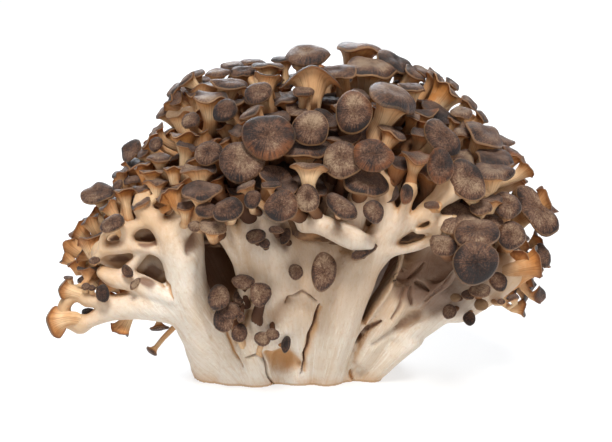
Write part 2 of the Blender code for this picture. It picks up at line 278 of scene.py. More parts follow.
@dataclass
class Growth:
    """The limbs and where every frond stands. The front has its own rows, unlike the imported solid's."""

    outline: CrownOutline = CrownOutline()
    heart_middle: tuple[float, float, float] = (2.0, 7.0, 58.0)
    heart_size: tuple[float, float, float] = (70.0, 53.0, 50.0)
    seed: int = 3
    cap_count: int = 150
    cap_tries: int = 9000
    scattered_size: tuple[float, float] = (8.8, 12.4)
    scattered_lowest: float = -0.35
    scattered_inset: float = 6.0
    scattered_lean: float = 0.45
    scattered_tilt: float = 0.2
    scattered_slim: float = 0.72
    cap_spacing: float = 0.74
    tip_cap: float = 1.6
    tip_lift: float = 0.25
    limb_pull: float = 0.75
    small_count: int = 560
    small_size: tuple[float, float] = (3.0, 6.2)
    small_tries: int = 24000
    small_lowest: float = -0.4
    small_tilt: float = 0.32
    small_slim: float = 0.65
    small_spacing: tuple[float, float] = (0.66, 0.70)
    front_way: tuple[float, float, float] = (0.0, -0.97, 0.24)
    front_share: float = 0.12
    front_limbs: dict[str, Run] = field(
        default_factory=lambda: {
            "left": [
                (-33, 2, -1, 8.0, 11), (-36, -10, 13, 7.8, 11), (-38, -19, 24, 8.4, 10),
                (-41, -25, 35, 7.2, 9), (-42, -28, 44, 7.2, 8), (-43, -29, 52, 7.5, 8),
                (-42, -28, 59, 6.5, 8), (-38, -24, 69, 5.2, 8),
            ],
            "left_low": [
                (-43, -22, 31, 7.6, 8), (-51, -25, 32, 6.2, 7), (-61, -27, 32, 5.2, 6),
                (-69, -28, 30, 3.4, 5), (-75, -28, 27, 2.2, 4.5), (-79, -28, 25, 2.1, 4),
            ],
            "left_low_up": [(-66, -28, 33, 2.7, 5), (-72, -29, 34, 2.2, 4), (-77, -29, 35, 2.2, 4)],
            "left_bar": [
                (-45, -28, 51, 4.1, 7), (-52, -28, 52, 2.4, 5), (-58, -29, 53, 2.1, 4.5),
                (-64, -29, 53, 2.1, 4.5), (-70, -29, 52, 2.1, 4.5), (-73, -29, 49, 1.7, 4),
            ],
            "left_low_bar": [
                (-48, -28, 35, 2.7, 6), (-54, -29, 38, 3.4, 5), (-61, -29, 41, 3.4, 5),
                (-67, -29, 42, 3.4, 5), (-71, -29, 44, 2.4, 4.5),
            ],
            "left_join": [
                (-81, -28, 36, 1.7, 4), (-84, -28, 33, 2.2, 4), (-85, -28, 30, 2.4, 4),
                (-83, -28, 26, 2.1, 4),
            ],
            "left_slot": [(-57, -27, 51, 2.4, 4), (-59, -28, 48, 1.7, 4), (-62, -28, 45, 2.1, 4)],
            "left_wall": [
                (-46, -16, 42, 6.3, 5), (-56, -17, 44, 7.0, 5), (-65, -18, 47, 5.6, 5),
                (-71, -20, 50, 4.2, 5),
            ],
            "left_high_wall": [(-46, -17, 55, 4.6, 5), (-55, -18, 56, 4.9, 5), (-66, -20, 55, 4.5, 5)],
            "left_third": [
                (-42, -28, 53, 5.1, 7), (-47, -29, 57, 4.1, 6), (-51, -30, 61, 3.1, 5),
                (-54, -30, 64, 2.4, 4.5), (-57, -30, 67, 2.0, 4),
            ],
            "left_link": [
                (-52, -30, 63, 2.4, 4.5), (-58, -30, 61, 1.7, 4), (-61, -30, 58, 1.7, 4),
                (-61, -30, 55, 1.7, 4),
            ],
            "left_far_link": [
                (-60, -30, 61, 1.7, 4), (-66, -30, 60, 1.4, 4), (-70, -30, 57, 1.2, 4),
                (-71, -30, 53, 1.2, 4),
            ],
            "butt": [(-31, -3, 4, 15, 10), (-12, -5, 4, 16, 11), (6, -4, 4, 16, 11), (17, -1, 4, 13, 11)],
            "web_up": [(-2, -28, 51, 5.0, 6), (6, -29, 57, 5.5, 5.5), (15, -29, 60, 5.5, 5.5)],
            "tall": [
                (15, -31, 58, 4.6, 6), (17, -33, 66, 4.4, 6), (20, -35, 74, 4.0, 6), (23, -36, 81, 3.2, 5),
            ],
            "web_middle": [(-3, -12, 6, 8, 8), (-1, -20, 22, 8, 8), (0, -25, 36, 8, 8), (3, -27, 52, 8, 7)],
            "web_left": [(-26, -10, 4, 8, 9), (-28, -16, 18, 7, 9), (-29, -19, 27, 5, 8)],
            "middle_left": [
                (-18, -8, 0, 8.6, 10), (-18, -15, 11, 8.4, 10), (-14, -22, 22, 9.0, 9),
                (-9, -27, 32, 10.3, 8), (-9, -30, 41, 9.6, 7), (-10, -31, 49, 10.2, 7),
                (-13, -31, 56, 10.9, 7), (-15, -28, 64, 8.9, 7),
            ],
            "middle_left_edge": [
                (-21, -29, 39, 2.7, 6), (-23, -30, 48, 2.7, 5), (-26, -31, 54, 2.7, 5),
                (-29, -30, 60, 3.4, 6),
            ],
            "middle_right": [
                (7, -7, 1, 7.9, 10), (8, -14, 12, 7.8, 10), (11, -21, 23, 8.0, 9), (13, -26, 33, 8.3, 8),
                (15, -29, 41, 8.9, 7), (19, -31, 48, 7.5, 6), (25, -33, 55, 6.4, 5.5),
                (27, -34, 62, 4.4, 5.5), (27, -35, 69, 3.4, 5), (25, -36, 77, 3.0, 5),
            ],
            "middle_right_back": [
                (6, -22, 33, 6.2, 8), (4, -26, 44, 6.9, 8), (6, -28, 55, 6.2, 7), (10, -28, 64, 5.5, 7),
            ],
            "y_arm": [
                (27, -34, 58, 4.1, 5), (33, -36, 61, 2.7, 4.5), (40, -38, 66, 2.4, 4.5),
                (45, -40, 71, 2.7, 4.5), (49, -41, 75, 3.0, 5),
            ],
            "y_low_arm": [
                (27, -33, 53, 3.4, 5), (33, -35, 53, 1.7, 4), (39, -37, 55, 1.7, 4), (44, -39, 59, 1.7, 4),
                (45, -40, 63, 2.0, 4),
            ],
            "y_low_bridge": [(38, -38, 60, 1.0, 3.5), (42, -39, 61, 1.3, 4), (45, -40, 63, 1.7, 4)],
            "y_up_slot": [(32, -36, 63, 2.4, 4), (34, -37, 69, 1.7, 4), (35, -38, 74, 2.0, 4)],
            "lying": [
                (0, -37, 62, 2.9, 5.5), (5, -39, 62, 3.5, 6), (11, -41, 60, 3.8, 6), (16, -42, 58, 3.8, 6),
                (20.5, -41, 56.5, 2.6, 5),
            ],
            "right_low": [
                (19, 0, 2, 5.8, 12), (27, -5, 10, 6.1, 12), (35, -9, 18, 6.4, 12), (46, -12, 26, 6.0, 11),
                (55, -14, 32, 4.9, 10), (62, -16, 37, 4.2, 9),
            ],
            "right_high": [
                (21, -8, 13, 5.7, 11), (27, -13, 24, 6.7, 10), (33, -16, 34, 6.7, 9), (39, -16, 42, 7.0, 8),
                (45, -14, 49, 6.3, 8), (52, -12, 58, 5.0, 8),
            ],
            "right_rim": [
                (19, -17, 21, 1.2, 5), (25, -20, 31, 1.2, 5), (30, -23, 39, 1.2, 5), (33, -23, 45, 1.2, 5),
                (34, -21, 51, 1.2, 5),
            ],
            "right_mid": [(41, -17, 32, 4.6, 7), (48, -19, 39, 4.5, 7), (54, -20, 47, 4.2, 7)],
        }
    )
    stems: dict[str, Run] = field(
        default_factory=lambda: {
            "back_right": [
                (16, 14, -4, 14, 13), (25, 26, 16, 15, 12), (34, 37, 36, 14, 11), (38, 40, 56, 11, 10),
                (34, 32, 74, 10, 10),
            ],
            "back_middle": [
                (-2, 19, -4, 14, 12), (-3, 33, 16, 15, 11), (-5, 44, 38, 13, 10), (-6, 46, 58, 10, 10),
                (-4, 36, 76, 10, 10),
            ],
            "back_left": [
                (-20, 12, -4, 13, 13), (-31, 22, 15, 15, 12), (-42, 29, 34, 14, 11), (-46, 30, 54, 11, 10),
                (-38, 22, 72, 10, 10),
            ],
            "core": [(-1, 6, -4, 22, 14), (0, 12, 30, 26, 18), (2, 12, 50, 32, 22)],
        }
    )
    branches: dict[str, Run] = field(
        default_factory=lambda: {
            "low_right": [(54, -15, 32, 9, 9), (66, -18, 38, 7, 7), (74, -18, 44, 6, 6)],
            "side_right": [(50, 4, 34, 10, 10), (66, 10, 42, 7, 7), (74, 12, 50, 6, 6)],
            "side_left": [(-44, 4, 34, 10, 10), (-62, 8, 40, 7, 7), (-74, 8, 46, 6, 6)],
            "back_low_left": [(-42, 30, 34, 8, 8), (-54, 38, 40, 6, 6), (-62, 42, 46, 5, 5)],
            "back_low_middle": [(-6, 46, 38, 8, 8), (-10, 56, 44, 6, 6), (-12, 62, 50, 5, 5)],
            "back_low_right": [(34, 38, 36, 8, 8), (46, 46, 42, 6, 6), (54, 50, 48, 5, 5)],
        }
    )
    # (x, y, z, half width, half height, yaw, pitch, roll, form, tone, root or None). A tone of 1 or 2 more
    # also makes the frond golden or plain.
    front_rows: tuple[FrontRow, ...] = (
        (0.5, 4.5, 117.5, 8, 7, 0, 62, 0, ROUND, 0.1, None),
        (20, 20, 119, 12, 9, 109, 84, 0, FLAT, 0.7, None),
        (24, 4.5, 113, 10, 8, 26, 66, 0, FLAT, 1.3, None),
        (11.5, -12, 112.5, 6.5, 5, -34, 59, 0, FLAT, 0.3, None),
        (2, -16.5, 112, 11, 8, 180, 80, 0, DROOPING, 2.3, (4, -26, 94)),
        (29.5, -30, 104.5, 12, 8, 60, 57, 0, ROUND, 2.15, (19, -32, 78.5)),
        (37.5, -10.5, 107, 5.5, 4.5, 48, 77, 0, FLAT, 0.3, None),
        (51, 2.5, 106.5, 6.5, 6, 91, 45, 0, FAN, 1.5, (28, -31, 74.5)),
        (55, -14, 98.5, 4, 3.8, 16, 61, 0, FLAT, 0.2, None),
        (55, 2, 103, 2.9, 2.6, 90, 40, 0, RUFFLED, 0.7, None),
        (47.5, 8, 109.5, 5, 3.8, 82, 60, 0, FLAT, 0.3, None),
        (32.5, 11, 115, 7, 6.5, 47, 56, 0, FLAT, 0.55, None),
        (40, 8.5, 111, 5.5, 5, 68, 52, 0, FLAT, 0.5, None),
        (43, 11.5, 111.5, 5, 3.9, 65, 59, 0, FLAT, 0.3, None),
        (48, 13.5, 110.5, 4.5, 3.6, 83, 51, 0, FAN, 0.5, None),
        (54, 11, 107, 4, 3.3, 73, 50, 0, FLAT, 0.4, None),
        (60, 6, 100.5, 4.5, 3.5, 70, 45, 0, FLAT, 0.3, None),
        (64.5, 5, 95.5, 4, 3.2, 75, 41, 0, FLAT, 0.4, None),
        (36.5, 17.5, 111.5, 6.5, 5.5, 45, 59, 0, FLAT, 0.3, None),
        (54.5, -20.5, 92, 3.5, 2.8, 39, 62, 0, FLAT, 0.3, None),
        (52.5, -14, 96, 3.2, 2.5, 71, 60, 0, FAN, 0.4, None),
        (16, -38, 100.5, 6.5, 7.5, 0, 27, 0, ROUND, 1.7, None),
        (1.5, -42.5, 95.5, 6.5, 6, 0, 23, 0, ROUND, 1.45, None),
        (-12.5, -45.5, 93, 9, 8, -3, 27, 10, ROUND, 0.95, None),
        (-21.5, -44, 84.5, 8, 7.5, -10, 33, 0, ROUND, 0.2, None),
        (12, -47.5, 85.5, 6, 7.5, -10, 33, 25, ROUND, 0.1, None),
        (22, -52, 87.5, 7, 5.5, 0, 27, -8, ROUND, 2.9, (22.5, -34, 73.5)),
        (-0.5, -41, 88, 8.5, 4.5, 0, 66, 0, FLAT, 0.6, None),
        (1.5, -49, 83, 6.5, 5.5, 161, 77, 0, FLAT, 0.2, (3, -30, 69.5)),
        (-1, -22.5, 106.5, 3.8, 3.1, 16, 61, 0, FLAT, 0, None),
        (0.5, -56.5, 74, 3.9, 5, 0, 27, 15, ROUND, 0.05, None),
        (11.5, -58.5, 71.5, 6, 3.7, 0, 41, -45, ROUND, 0.2, (9.5, -26, 69)),
        (22, -59, 70, 3.4, 4, 0, 27, 0, ROUND, 0.2, (24.5, -28, 67.5)),
        (33, -54, 75, 2.1, 4, 0, 35, -10, ROUND, 0.9, None),
        (41.5, -51.5, 71, 3.6, 1.8, -49, 55, 0, FLAT, 0.7, None),
        (19.5, -44, 54, 5.5, 2, 0, 46, 35, ROUND, 0.3, (22.5, -40, 58)),
        (46, -36, 91.5, 5.5, 7.5, 16, 33, 25, ROUND, 0.35, None),
        (44.5, -47.5, 83.5, 4.5, 6.5, 0, 32, 5, ROUND, 0.85, None),
        (54, -42.5, 78, 6, 8, 9, 31, 25, ROUND, 1.55, None),
        (62.5, -20, 91, 9, 7, 55, 55, 0, FLAT, 0.25, None),
        (65.5, -25.5, 83.5, 8.5, 6, 39, 62, 0, FLAT, 0.25, None),
        (63.5, -35.5, 80, 8, 5.5, 26, 66, 0, FLAT, 0.15, None),
        (80.5, -2, 78, 5, 4, 89, 35, 0, RUFFLED, 0.6, None),
        (68.5, -35.5, 68.5, 5, 5, 0, 35, 0, ROUND, 0.35, (67.5, -8, 52)),
        (57, -46.5, 60.5, 7.5, 6.5, 0, 46, 0, ROUND, 0.15, (62, -10, 48)),
        (56, -53.5, 52, 7.5, 7.5, 0, 20, 0, ROUND, 0.6, (61.5, -12, 40)),
        (70, -38, 58.5, 5, 5, 0, 27, 0, ROUND, 0.4, (69.5, -10, 45.5)),
        (83, -9.5, 62.5, 6, 10.5, 19, 36, 28, FLAT, 0.1, None),
        (87.5, -4.5, 66, 6.5, 6, 89, 30, 0, RUFFLED, 0.8, None),
        (51, -40, 64.5, 8, 7, -10, 50, 0, FLAT, 0.05, (59.5, -8, 48)),
        (46, -46, 56.5, 4.5, 4.5, 0, 41, 0, FLAT, 0.05, (54, -10, 44)),
        (62, -34.5, 62.5, 6, 5, 8, 45, 0, FLAT, 0.3, (64.5, -8, 48)),
        (85.5, -10, 46.5, 2.8, 5.5, 16, 43, -8, ROUND, 0.15, None),
        (84, -16, 33, 3.2, 3.2, 45, -1, 0, RUFFLED, 0.9, None),
        (67, -30, 41, 3.1, 3.8, 5, 34, 0, ROUND, 0.5, None),
        (60.5, -31, 38, 4, 2.9, 0, 46, 0, ROUND, 0.2, (59, -12, 34)),
        (56.5, -31, 36.5, 2.7, 2, 16, 43, 0, ROUND, 0.5, (59, -12, 34)),
        (50, -31, 30.5, 2.4, 2.9, -5, 34, 0, ROUND, 0.1, (59, -12, 34)),
        (52, -31, 35.5, 1.9, 1.6, 0, 35, 0, ROUND, -0.2, (59, -12, 34)),
        (61, -31, 33, 2.4, 2.6, 0, 46, 0, ROUND, -0.2, (59, -12, 34)),
        (57, -31, 28, 2.2, 2.7, 5, 34, 0, ROUND, 0.3, (59, -12, 34)),
        (68, -31, 34, 1.4, 1.2, 0, 46, 0, ROUND, 0.2, (59, -12, 34)),
        (72, -31, 35.5, 3.7, 2.2, -91, 80, 0, FLAT, 0.2, (59, -12, 34)),
        (82, -23.5, 46.5, 7, 6, 86, 11, 0, FUNNEL, 0.3, (68, -22, 41.5)),
        (62.5, -36.5, 71, 4.5, 3.5, 0, 75, 0, RUFFLED, 0.3, None),
        (59, -41, 68.5, 4, 3.2, 0, 55, 0, FLAT, 0.1, None),
        (-16.5, -24.5, 106, 5, 4.5, -13, 38, 0, ROUND, 0.35, None),
        (-18.5, -32, 100, 6, 4.5, -83, 58, 0, FLAT, 0.3, (-15, -30, 90.5)),
        (-28, -24, 100, 4.5, 4.5, -15, 31, 0, ROUND, 0.45, None),
        (-34, -13, 104, 7, 5.5, -33, 76, 0, FAN, 0.25, (-35.5, -4, 84)),
        (-40.5, -17, 96, 3.2, 3.8, -16, 43, 0, ROUND, 0, None),
        (-45, -5.5, 98, 5, 4.5, -58, 73, 0, RUFFLED, -0.2, None),
        (-32, 2.5, 111.5, 5, 4, -18, 75, 0, FLAT, 0.3, None),
        (-23, 2.5, 112, 4.5, 3.9, 0, 62, 0, FLAT, 0.3, None),
        (-14, -2.5, 114, 6, 4.5, 180, 90, 0, FLAT, 0.3, None),
        (-13.5, -11, 111, 5, 4, 146, 72, 0, RUFFLED, 0.6, None),
        (-27, -9, 108, 7, 5, 32, 73, 0, FLAT, 0.3, None),
        (-37.5, 6, 107, 8, 5.5, -35, 83, 0, RUFFLED, 0.2, None),
        (-40.5, 6.5, 104.5, 6, 4, -75, 80, 0, RUFFLED, 0.4, None),
        (-47.5, 2, 102.5, 2.7, 3.3, -23, 40, 0, FUNNEL, 0.1, None),
        (-43.5, 4, 109, 4.5, 3.8, -78, 46, 0, FLAT, 0.4, None),
        (-48.5, 7.5, 105, 4.5, 3.5, -74, 45, 0, FLAT, 0.3, None),
        (-52.5, 8.5, 97, 4.5, 3.5, -74, 45, 0, FLAT, 0.4, None),
        (-54.5, 0, 91, 4, 3.2, -74, 45, 0, FAN, 0.3, None),
        (-58.5, -7, 83.5, 3.9, 3.1, -74, 45, 0, FLAT, 0.5, None),
        (-40.5, 10.5, 110.5, 4.5, 3.5, -62, 63, 0, FLAT, 0.3, None),
        (-27.5, 15, 113.5, 5, 4, -39, 75, 0, FLAT, 0.3, None),
        (-20, 17, 114.5, 5, 3.9, 0, 82, 0, FLAT, 0.2, None),
        (-8, 18, 115.5, 5, 3.9, 0, 82, 0, FLAT, 0.4, None),
        (-50.5, 5, 101, 4.5, 3.5, -89, 30, 0, RUFFLED, 0.5, None),
        (-45.5, 14.5, 104, 4, 3.3, -39, 62, 0, FLAT, 0.2, None),
        (-37.5, 16, 108, 4.5, 3.6, -12, 68, 0, FLAT, 0.3, None),
        (-62.5, -9.5, 74, 3.6, 2.8, -39, 62, 0, FLAT, 0.3, None),
        (-42.5, -22, 91.5, 5.5, 4.5, 180, 84, 0, RUFFLED, 1.4, (-38.5, -20, 82.5)),
        (-53, -16, 87.5, 2.5, 3, -19, 28, 0, ROUND, 0.3, None),
        (-56, -7, 88, 4.5, 4.5, -94, 40, 0, FAN, 1.6, None),
        (-64, 2, 83.5, 4.5, 4.5, -37, 32, 0, FLAT, 0.3, None),
        (-51, -23, 83.5, 5, 3.4, -32, 73, 0, FLAT, 0.3, None),
        (-33, -36, 86.5, 5, 4.5, -5, 34, 0, ROUND, 0.25, None),
        (-41, -26.5, 88, 5, 3.9, 81, 70, 0, FAN, 0.5, None),
        (-56.5, -19.5, 80.5, 5, 4, -113, 68, 0, FAN, 1.4, None),
        (-53.5, -26.5, 79, 4, 3.3, 180, 84, 0, FAN, 1.5, None),
        (-45, -32.5, 81, 4, 3.7, -151, 80, 0, FAN, 1.5, None),
        (-36, -37.5, 81.5, 6, 3.6, 29, 80, 0, RUFFLED, 0.15, None),
        (-35, -46, 75, 6.5, 5.5, -8, 60, 0, FLAT, 0.4, (-42, -26, 57.5)),
        (-67, -6.5, 76.5, 4.5, 3.4, -82, 60, 0, RUFFLED, 0.6, None),
        (-76.5, 1.5, 67.5, 6.5, 5, -27, 43, 0, FLAT, 0.3, None),
        (-57, -31, 68.5, 5, 3.6, -82, 60, 0, FLAT, 0.15, (-50.5, -30, 60)),
        (-66, -37, 62.5, 4.5, 3.3, -13, 38, 25, ROUND, 0.25, (-62.5, -30, 56.5)),
        (-33, -49, 69, 3.9, 3.2, 0, 46, -20, ROUND, 0.35, None),
        (-25.5, -55, 70, 5, 4.5, -10, 33, 35, ROUND, 0.5, None),
        (-17.5, -55.5, 73.5, 2.6, 3.9, 7, 40, -20, ROUND, 0.25, None),
        (-8, -61, 72, 5.5, 5.5, 0, 27, 0, ROUND, 0.65, None),
        (-17, -42, 59, 3.3, 3, -7, 40, 0, ROUND, 0.3, None),
        (-14, -42, 56.5, 2, 2, 0, 41, 0, ROUND, 0.3, None),
        (-10, -44, 61.5, 2.7, 1.6, 0, 46, 0, ROUND, 0.3, None),
        (-37, -49, 63.5, 2.3, 2.2, 0, 46, 0, ROUND, 0.05, None),
        (-31, -50, 63.5, 4.5, 3.9, 12, 54, 0, FLAT, 0, None),
        (-7, -40, 58.5, 1.7, 3.7, -16, 43, 0, ROUND, 0.5, None),
        (-11.5, -53.5, 78, 3.6, 2.1, 0, 69, 0, FLAT, 0.25, None),
        (-20, -50.5, 77, 5, 3.4, -89, 65, 0, FLAT, 0.3, None),
        (-49.5, -36.5, 72, 4, 2.4, -82, 31, 0, RUFFLED, 1.3, None),
        (-56.5, -27, 73.5, 3.4, 2.7, 0, 75, 0, RUFFLED, 0.25, None),
        (-51.5, -29, 76, 4.5, 2.7, 0, 82, 0, RUFFLED, 0.2, None),
        (-67, -14, 72.5, 2.1, 2.3, -28, 35, 0, ROUND, 0.3, None),
        (-63.5, -18.5, 71.5, 4.5, 3.6, -132, 77, 0, FAN, 1.3, None),
        (-45, -36.5, 74.5, 4.5, 3.9, -106, 69, 0, FAN, 1.4, None),
        (-40.5, -42, 69.5, 3.3, 3.3, 0, 75, 0, FAN, 0.4, None),
        (-70.5, -14, 66, 4, 3.4, -94, 50, 0, RUFFLED, 0.5, None),
        (-78.5, -4, 59, 4, 3.6, -103, 59, 0, RUFFLED, 0.6, None),
        (-84, 1.5, 55, 4.5, 4.5, -96, 40, 0, RUFFLED, 0.7, None),
        (-87, 0.5, 49, 5, 4.5, -100, 29, 0, RUFFLED, 0.8, None),
        (-77, -12.5, 53.5, 5.5, 5, -116, 68, 0, RUFFLED, 0.6, None),
        (-88.5, -1, 44.5, 3.6, 3.3, -102, 28, 0, RUFFLED, 0.8, None),
        (-84, -1.5, 43, 4.5, 3.8, -113, 68, 0, RUFFLED, 0.7, None),
        (-78.5, -14, 42.5, 3.5, 2.8, 180, 84, 0, RUFFLED, 0.6, None),
        (-73, -33, 49, 1.9, 1.7, 0, 46, 0, ROUND, 0, None),
        (-61.5, -35, 45.5, 1.7, 2.9, 0, 35, 30, ROUND, 0.35, None),
        (-59, -34, 41, 1.4, 2.7, 0, 46, -30, ROUND, 0.1, None),
        (-70, -36, 38, 2.4, 3.3, 0, 27, 0, ROUND, 0.6, None),
        (-76, -34, 40, 1.7, 1.5, 0, 46, 0, ROUND, 0.3, None),
        (-74, -34, 39.5, 1.4, 1.2, 0, 46, 0, ROUND, 0.35, None),
        (-82.5, -31, 42.5, 2, 1.2, -32, 73, 0, ROUND, 0.1, None),
        (-87, -30, 26.5, 7, 5.5, -105, -10, 0, ROUND, 0.7, (-79.5, -28, 25.5)),
        (-83.5, -30, 38.5, 5, 4, -107, 12, 0, ROUND, 0.7, (-76.5, -28, 34.5)),
        (-77.5, -22, 28.5, 3.1, 1.9, -50, 66, 0, ROUND, 0.8, (-74, -26, 27)),
        (-66, -24, 22, 5, 4, -84, -65, 0, RUFFLED, 0.7, (-62, -26, 30)),
        (-53, -14, 20.5, 3.5, 1.8, 17, -56, 0, FLAT, 0.1, (-51, -16, 27)),
        (-55.5, -18, 13, 2.8, 2.1, -56, -42, 0, ROUND, 0.7, (-44, -16, 22)),
        (-21.5, -38, 42.5, 4, 2.8, -5, 34, 0, ROUND, 0.1, (-20.5, -31, 32.5)),
        (-30, -38, 37, 3.9, 4.5, -3, 27, 0, ROUND, 0.1, (-24.5, -29, 28.5)),
        (-15.5, -42, 39, 4, 4, 0, 27, 0, FAN, 0.2, (-17, -31, 26)),
        (-26.5, -36, 31.5, 4, 3.6, 0, 35, 0, ROUND, 0.2, (-23, -28, 22.5)),
        (-28.5, -37, 29, 3.7, 4.5, 0, 27, 0, ROUND, 0.1, None),
        (-22.5, -37, 30, 1.5, 2, 0, 35, 0, ROUND, 0.15, None),
        (-23, -36, 24, 2.9, 3.2, 0, 27, 0, ROUND, 0.6, (-21, -24, 15)),
        (-15, -38, 22.5, 3, 2.6, 0, 27, 0, ROUND, 0.2, (-16.5, -24, 12.5)),
        (-11.5, -38, 24, 2.4, 2.1, 0, 27, 0, ROUND, 0.1, None),
        (-23.5, -33, 35.5, 1.7, 2.7, 0, 35, 10, ROUND, 0.3, None),
        (-7, -32, 19, 1.7, 3.2, 0, 35, -12, ROUND, 0.5, None),
        (-3.5, -41, 46.5, 2.5, 2.9, 0, 27, 0, ROUND, 0, None),
        (6, -43, 47, 4.5, 6.5, 0, 23, -5, ROUND, 0.15, None),
    )

    def front_caps(self) -> list[Cap]:
        """The caps that are placed one by one."""
        caps = []
        for x, y, z, half_width, half_height, yaw, pitch, roll, form, tone, root in self.front_rows:
            facing, start = facing_of(yaw, pitch), Vector(root) if root else None
            caps.append(Cap(Vector((x, y, z)), facing, half_width, half_height, 0.0, form, roll, tone, start))
        return caps

    def seen_first(self, direction: Vector) -> bool:
        """Whether a direction from the crown's middle is on the side where the caps are placed one by one."""
        return direction.normalized().dot(Vector(self.front_way)) > self.front_share

    def tip_caps(self) -> list[Cap]:
        """A cap on the end of every branch, facing the way that the branch grows."""
        caps = []
        for run in self.branches.values():
            before, tip = Vector(run[-2][:3]), Vector(run[-1][:3])
            along = (tip - before).normalized()
            reach = self.tip_cap * (run[-1][3] + run[-1][4]) / 2
            middle = tip + along * 0.5 * reach
            facing = along + Vector((0.0, 0.0, self.tip_lift))
            caps.append(Cap(middle, facing, reach, 0.85 * reach, 0.0, Form.RUFFLED, 0.0, 0.6))
        return caps

    @staticmethod
    def lowest_cap(direction: Vector) -> float:
        """How low the crown reaches on a side: it is cut high over the front of the stems."""
        turn = math.degrees(math.atan2(direction.x - 0.05, -direction.y))
        front = 36.0 * math.exp(-((turn / 40.0) ** 2))
        back = 8.0 * math.exp(-(((abs(turn) - 180.0) / 50.0) ** 2))
        return 27.0 + front + back

    def scattered_caps(self, caps: list[Cap]) -> list[Cap]:
        """More caps over the crown, set as close as their sizes let them, each facing out and a little up.

        Args:
            caps: the caps that stand already.

        Returns:
            Those and the new ones.
        """
        rng = random.Random(self.seed)
        looks = random.Random(self.seed + 1)
        forms = (ROUND, ROUND, FLAT, FAN, FUNNEL, FOLDED, RUFFLED)
        caps = list(caps)
        for _ in range(self.cap_tries):
            if len(caps) >= self.cap_count:
                break
            direction = draw_direction(rng, self.scattered_lowest)
            point = self.outline.point(direction)
            size = rng.uniform(*self.scattered_size) - 1.6 * max(0.0, -direction.x)
            inset = rng.uniform(0.0, self.scattered_inset)
            lean = rng.uniform(0.0, self.scattered_lean)
            tilt = draw_tilt(rng, self.scattered_tilt)
            slim = rng.uniform(self.scattered_slim, 1.0)
            if point.z < self.lowest_cap(direction) or self.seen_first(direction):
                continue
            if is_crowded(point, size, self.cap_spacing, caps):
                continue
            out = self.outline.outward(direction, point)
            facing = (out + Vector((0, 0, 0.3)) + tilt).normalized()
            form = looks.choice(forms)
            roll, tone = looks.uniform(-40, 40), looks.random()
            caps.append(Cap(point - out * inset, facing, size, size * slim, lean, form, roll, tone))
        return caps

    def small_caps(self, caps: list[Cap]) -> list[Cap]:
        """Small fronds that fill the gaps between the main ones, deeper where those are placed one by one.

        Args:
            caps: the caps that stand already.

        Returns:
            The small ones alone.
        """
        rng = random.Random(self.seed + 2)
        forms = (ROUND, FLAT, FAN, FUNNEL, RUFFLED, RUFFLED, FOLDED)
        standing = list(caps)
        small: list[Cap] = []
        for _ in range(self.small_tries):
            if len(small) >= self.small_count:
                break
            direction = draw_direction(rng, self.small_lowest)
            point = self.outline.point(direction)
            front = self.seen_first(direction)
            size = rng.uniform(*self.small_size) * (1.3 if front else 1.0)
            lowest = 82.0 if point.x > -45 else 68.0
            if point.z < (lowest if front else self.lowest_cap(direction) - 2):
                continue
            out = self.outline.outward(direction, point)
            middle = point - out * (rng.uniform(5.0, 17.0) if front else rng.uniform(-1.0, 9.0))
            if is_crowded(middle, size, self.small_spacing[0 if front else 1], standing):
                continue
            tilt = draw_tilt(rng, self.small_tilt)
            facing = out + Vector((0, 0, 0.9 if front else 0.5)) + tilt
            if front and point.x < -25:
                facing += Vector((-0.2, 0.9, 0.3))
            slim = rng.uniform(self.small_slim, 1.0)
            form, roll, tone = rng.choice(forms), rng.uniform(-60, 60), rng.random()
            cap = Cap(middle, facing, size, size * slim, 0.2, form, roll, tone)
            standing.append(cap)
            small.append(cap)
        LOG.info("%d small fronds", len(small))
        return small

    def all_limbs(self) -> list[Run]:
        """Every stem and branch."""
        return [*self.front_limbs.values(), *self.stems.values(), *self.branches.values()]

    def anchors(self) -> list[Vector]:
        """Points along every stem and branch, which stalks can grow from."""
        points = []
        for run in self.all_limbs():
            for a, b in zip(run, run[1:]):
                start, end = Vector(a[:3]), Vector(b[:3])
                points += [start.lerp(end, share) for share in (0.0, 0.25, 0.5, 0.75, 1.0)]
        return points

    def root_of(self, cap: Cap, points: list[Vector]) -> tuple[Vector, bool]:
        """Where a frond's stalk starts: well inside the nearest limb, or in the heart if that is nearer.

        Args:
            cap: the frond's cap.
            points: the anchors.

        Returns:
            The root, and whether it is on a limb.
        """
        if cap.root is not None:
            return cap.root, True
        below = cap.middle - cap.facing * cap.reach * 1.6
        nearest = min(points, key=lambda point: (point - below).length)
        heart = Vector(self.heart_middle)
        inward = below - heart
        share = math.sqrt(sum((i / h) ** 2 for i, h in zip(inward, self.heart_size)))
        in_heart = heart + inward * min(1.0, 0.82 / max(share, 0.01))
        on_limb = self.limb_pull * (nearest - below).length < (in_heart - below).length
        return (nearest, True) if on_limb else (in_heart, False)


# ---------------------------------------------------------------------------------------------------------
# Flesh: limbs that web together.
# ---------------------------------------------------------------------------------------------------------


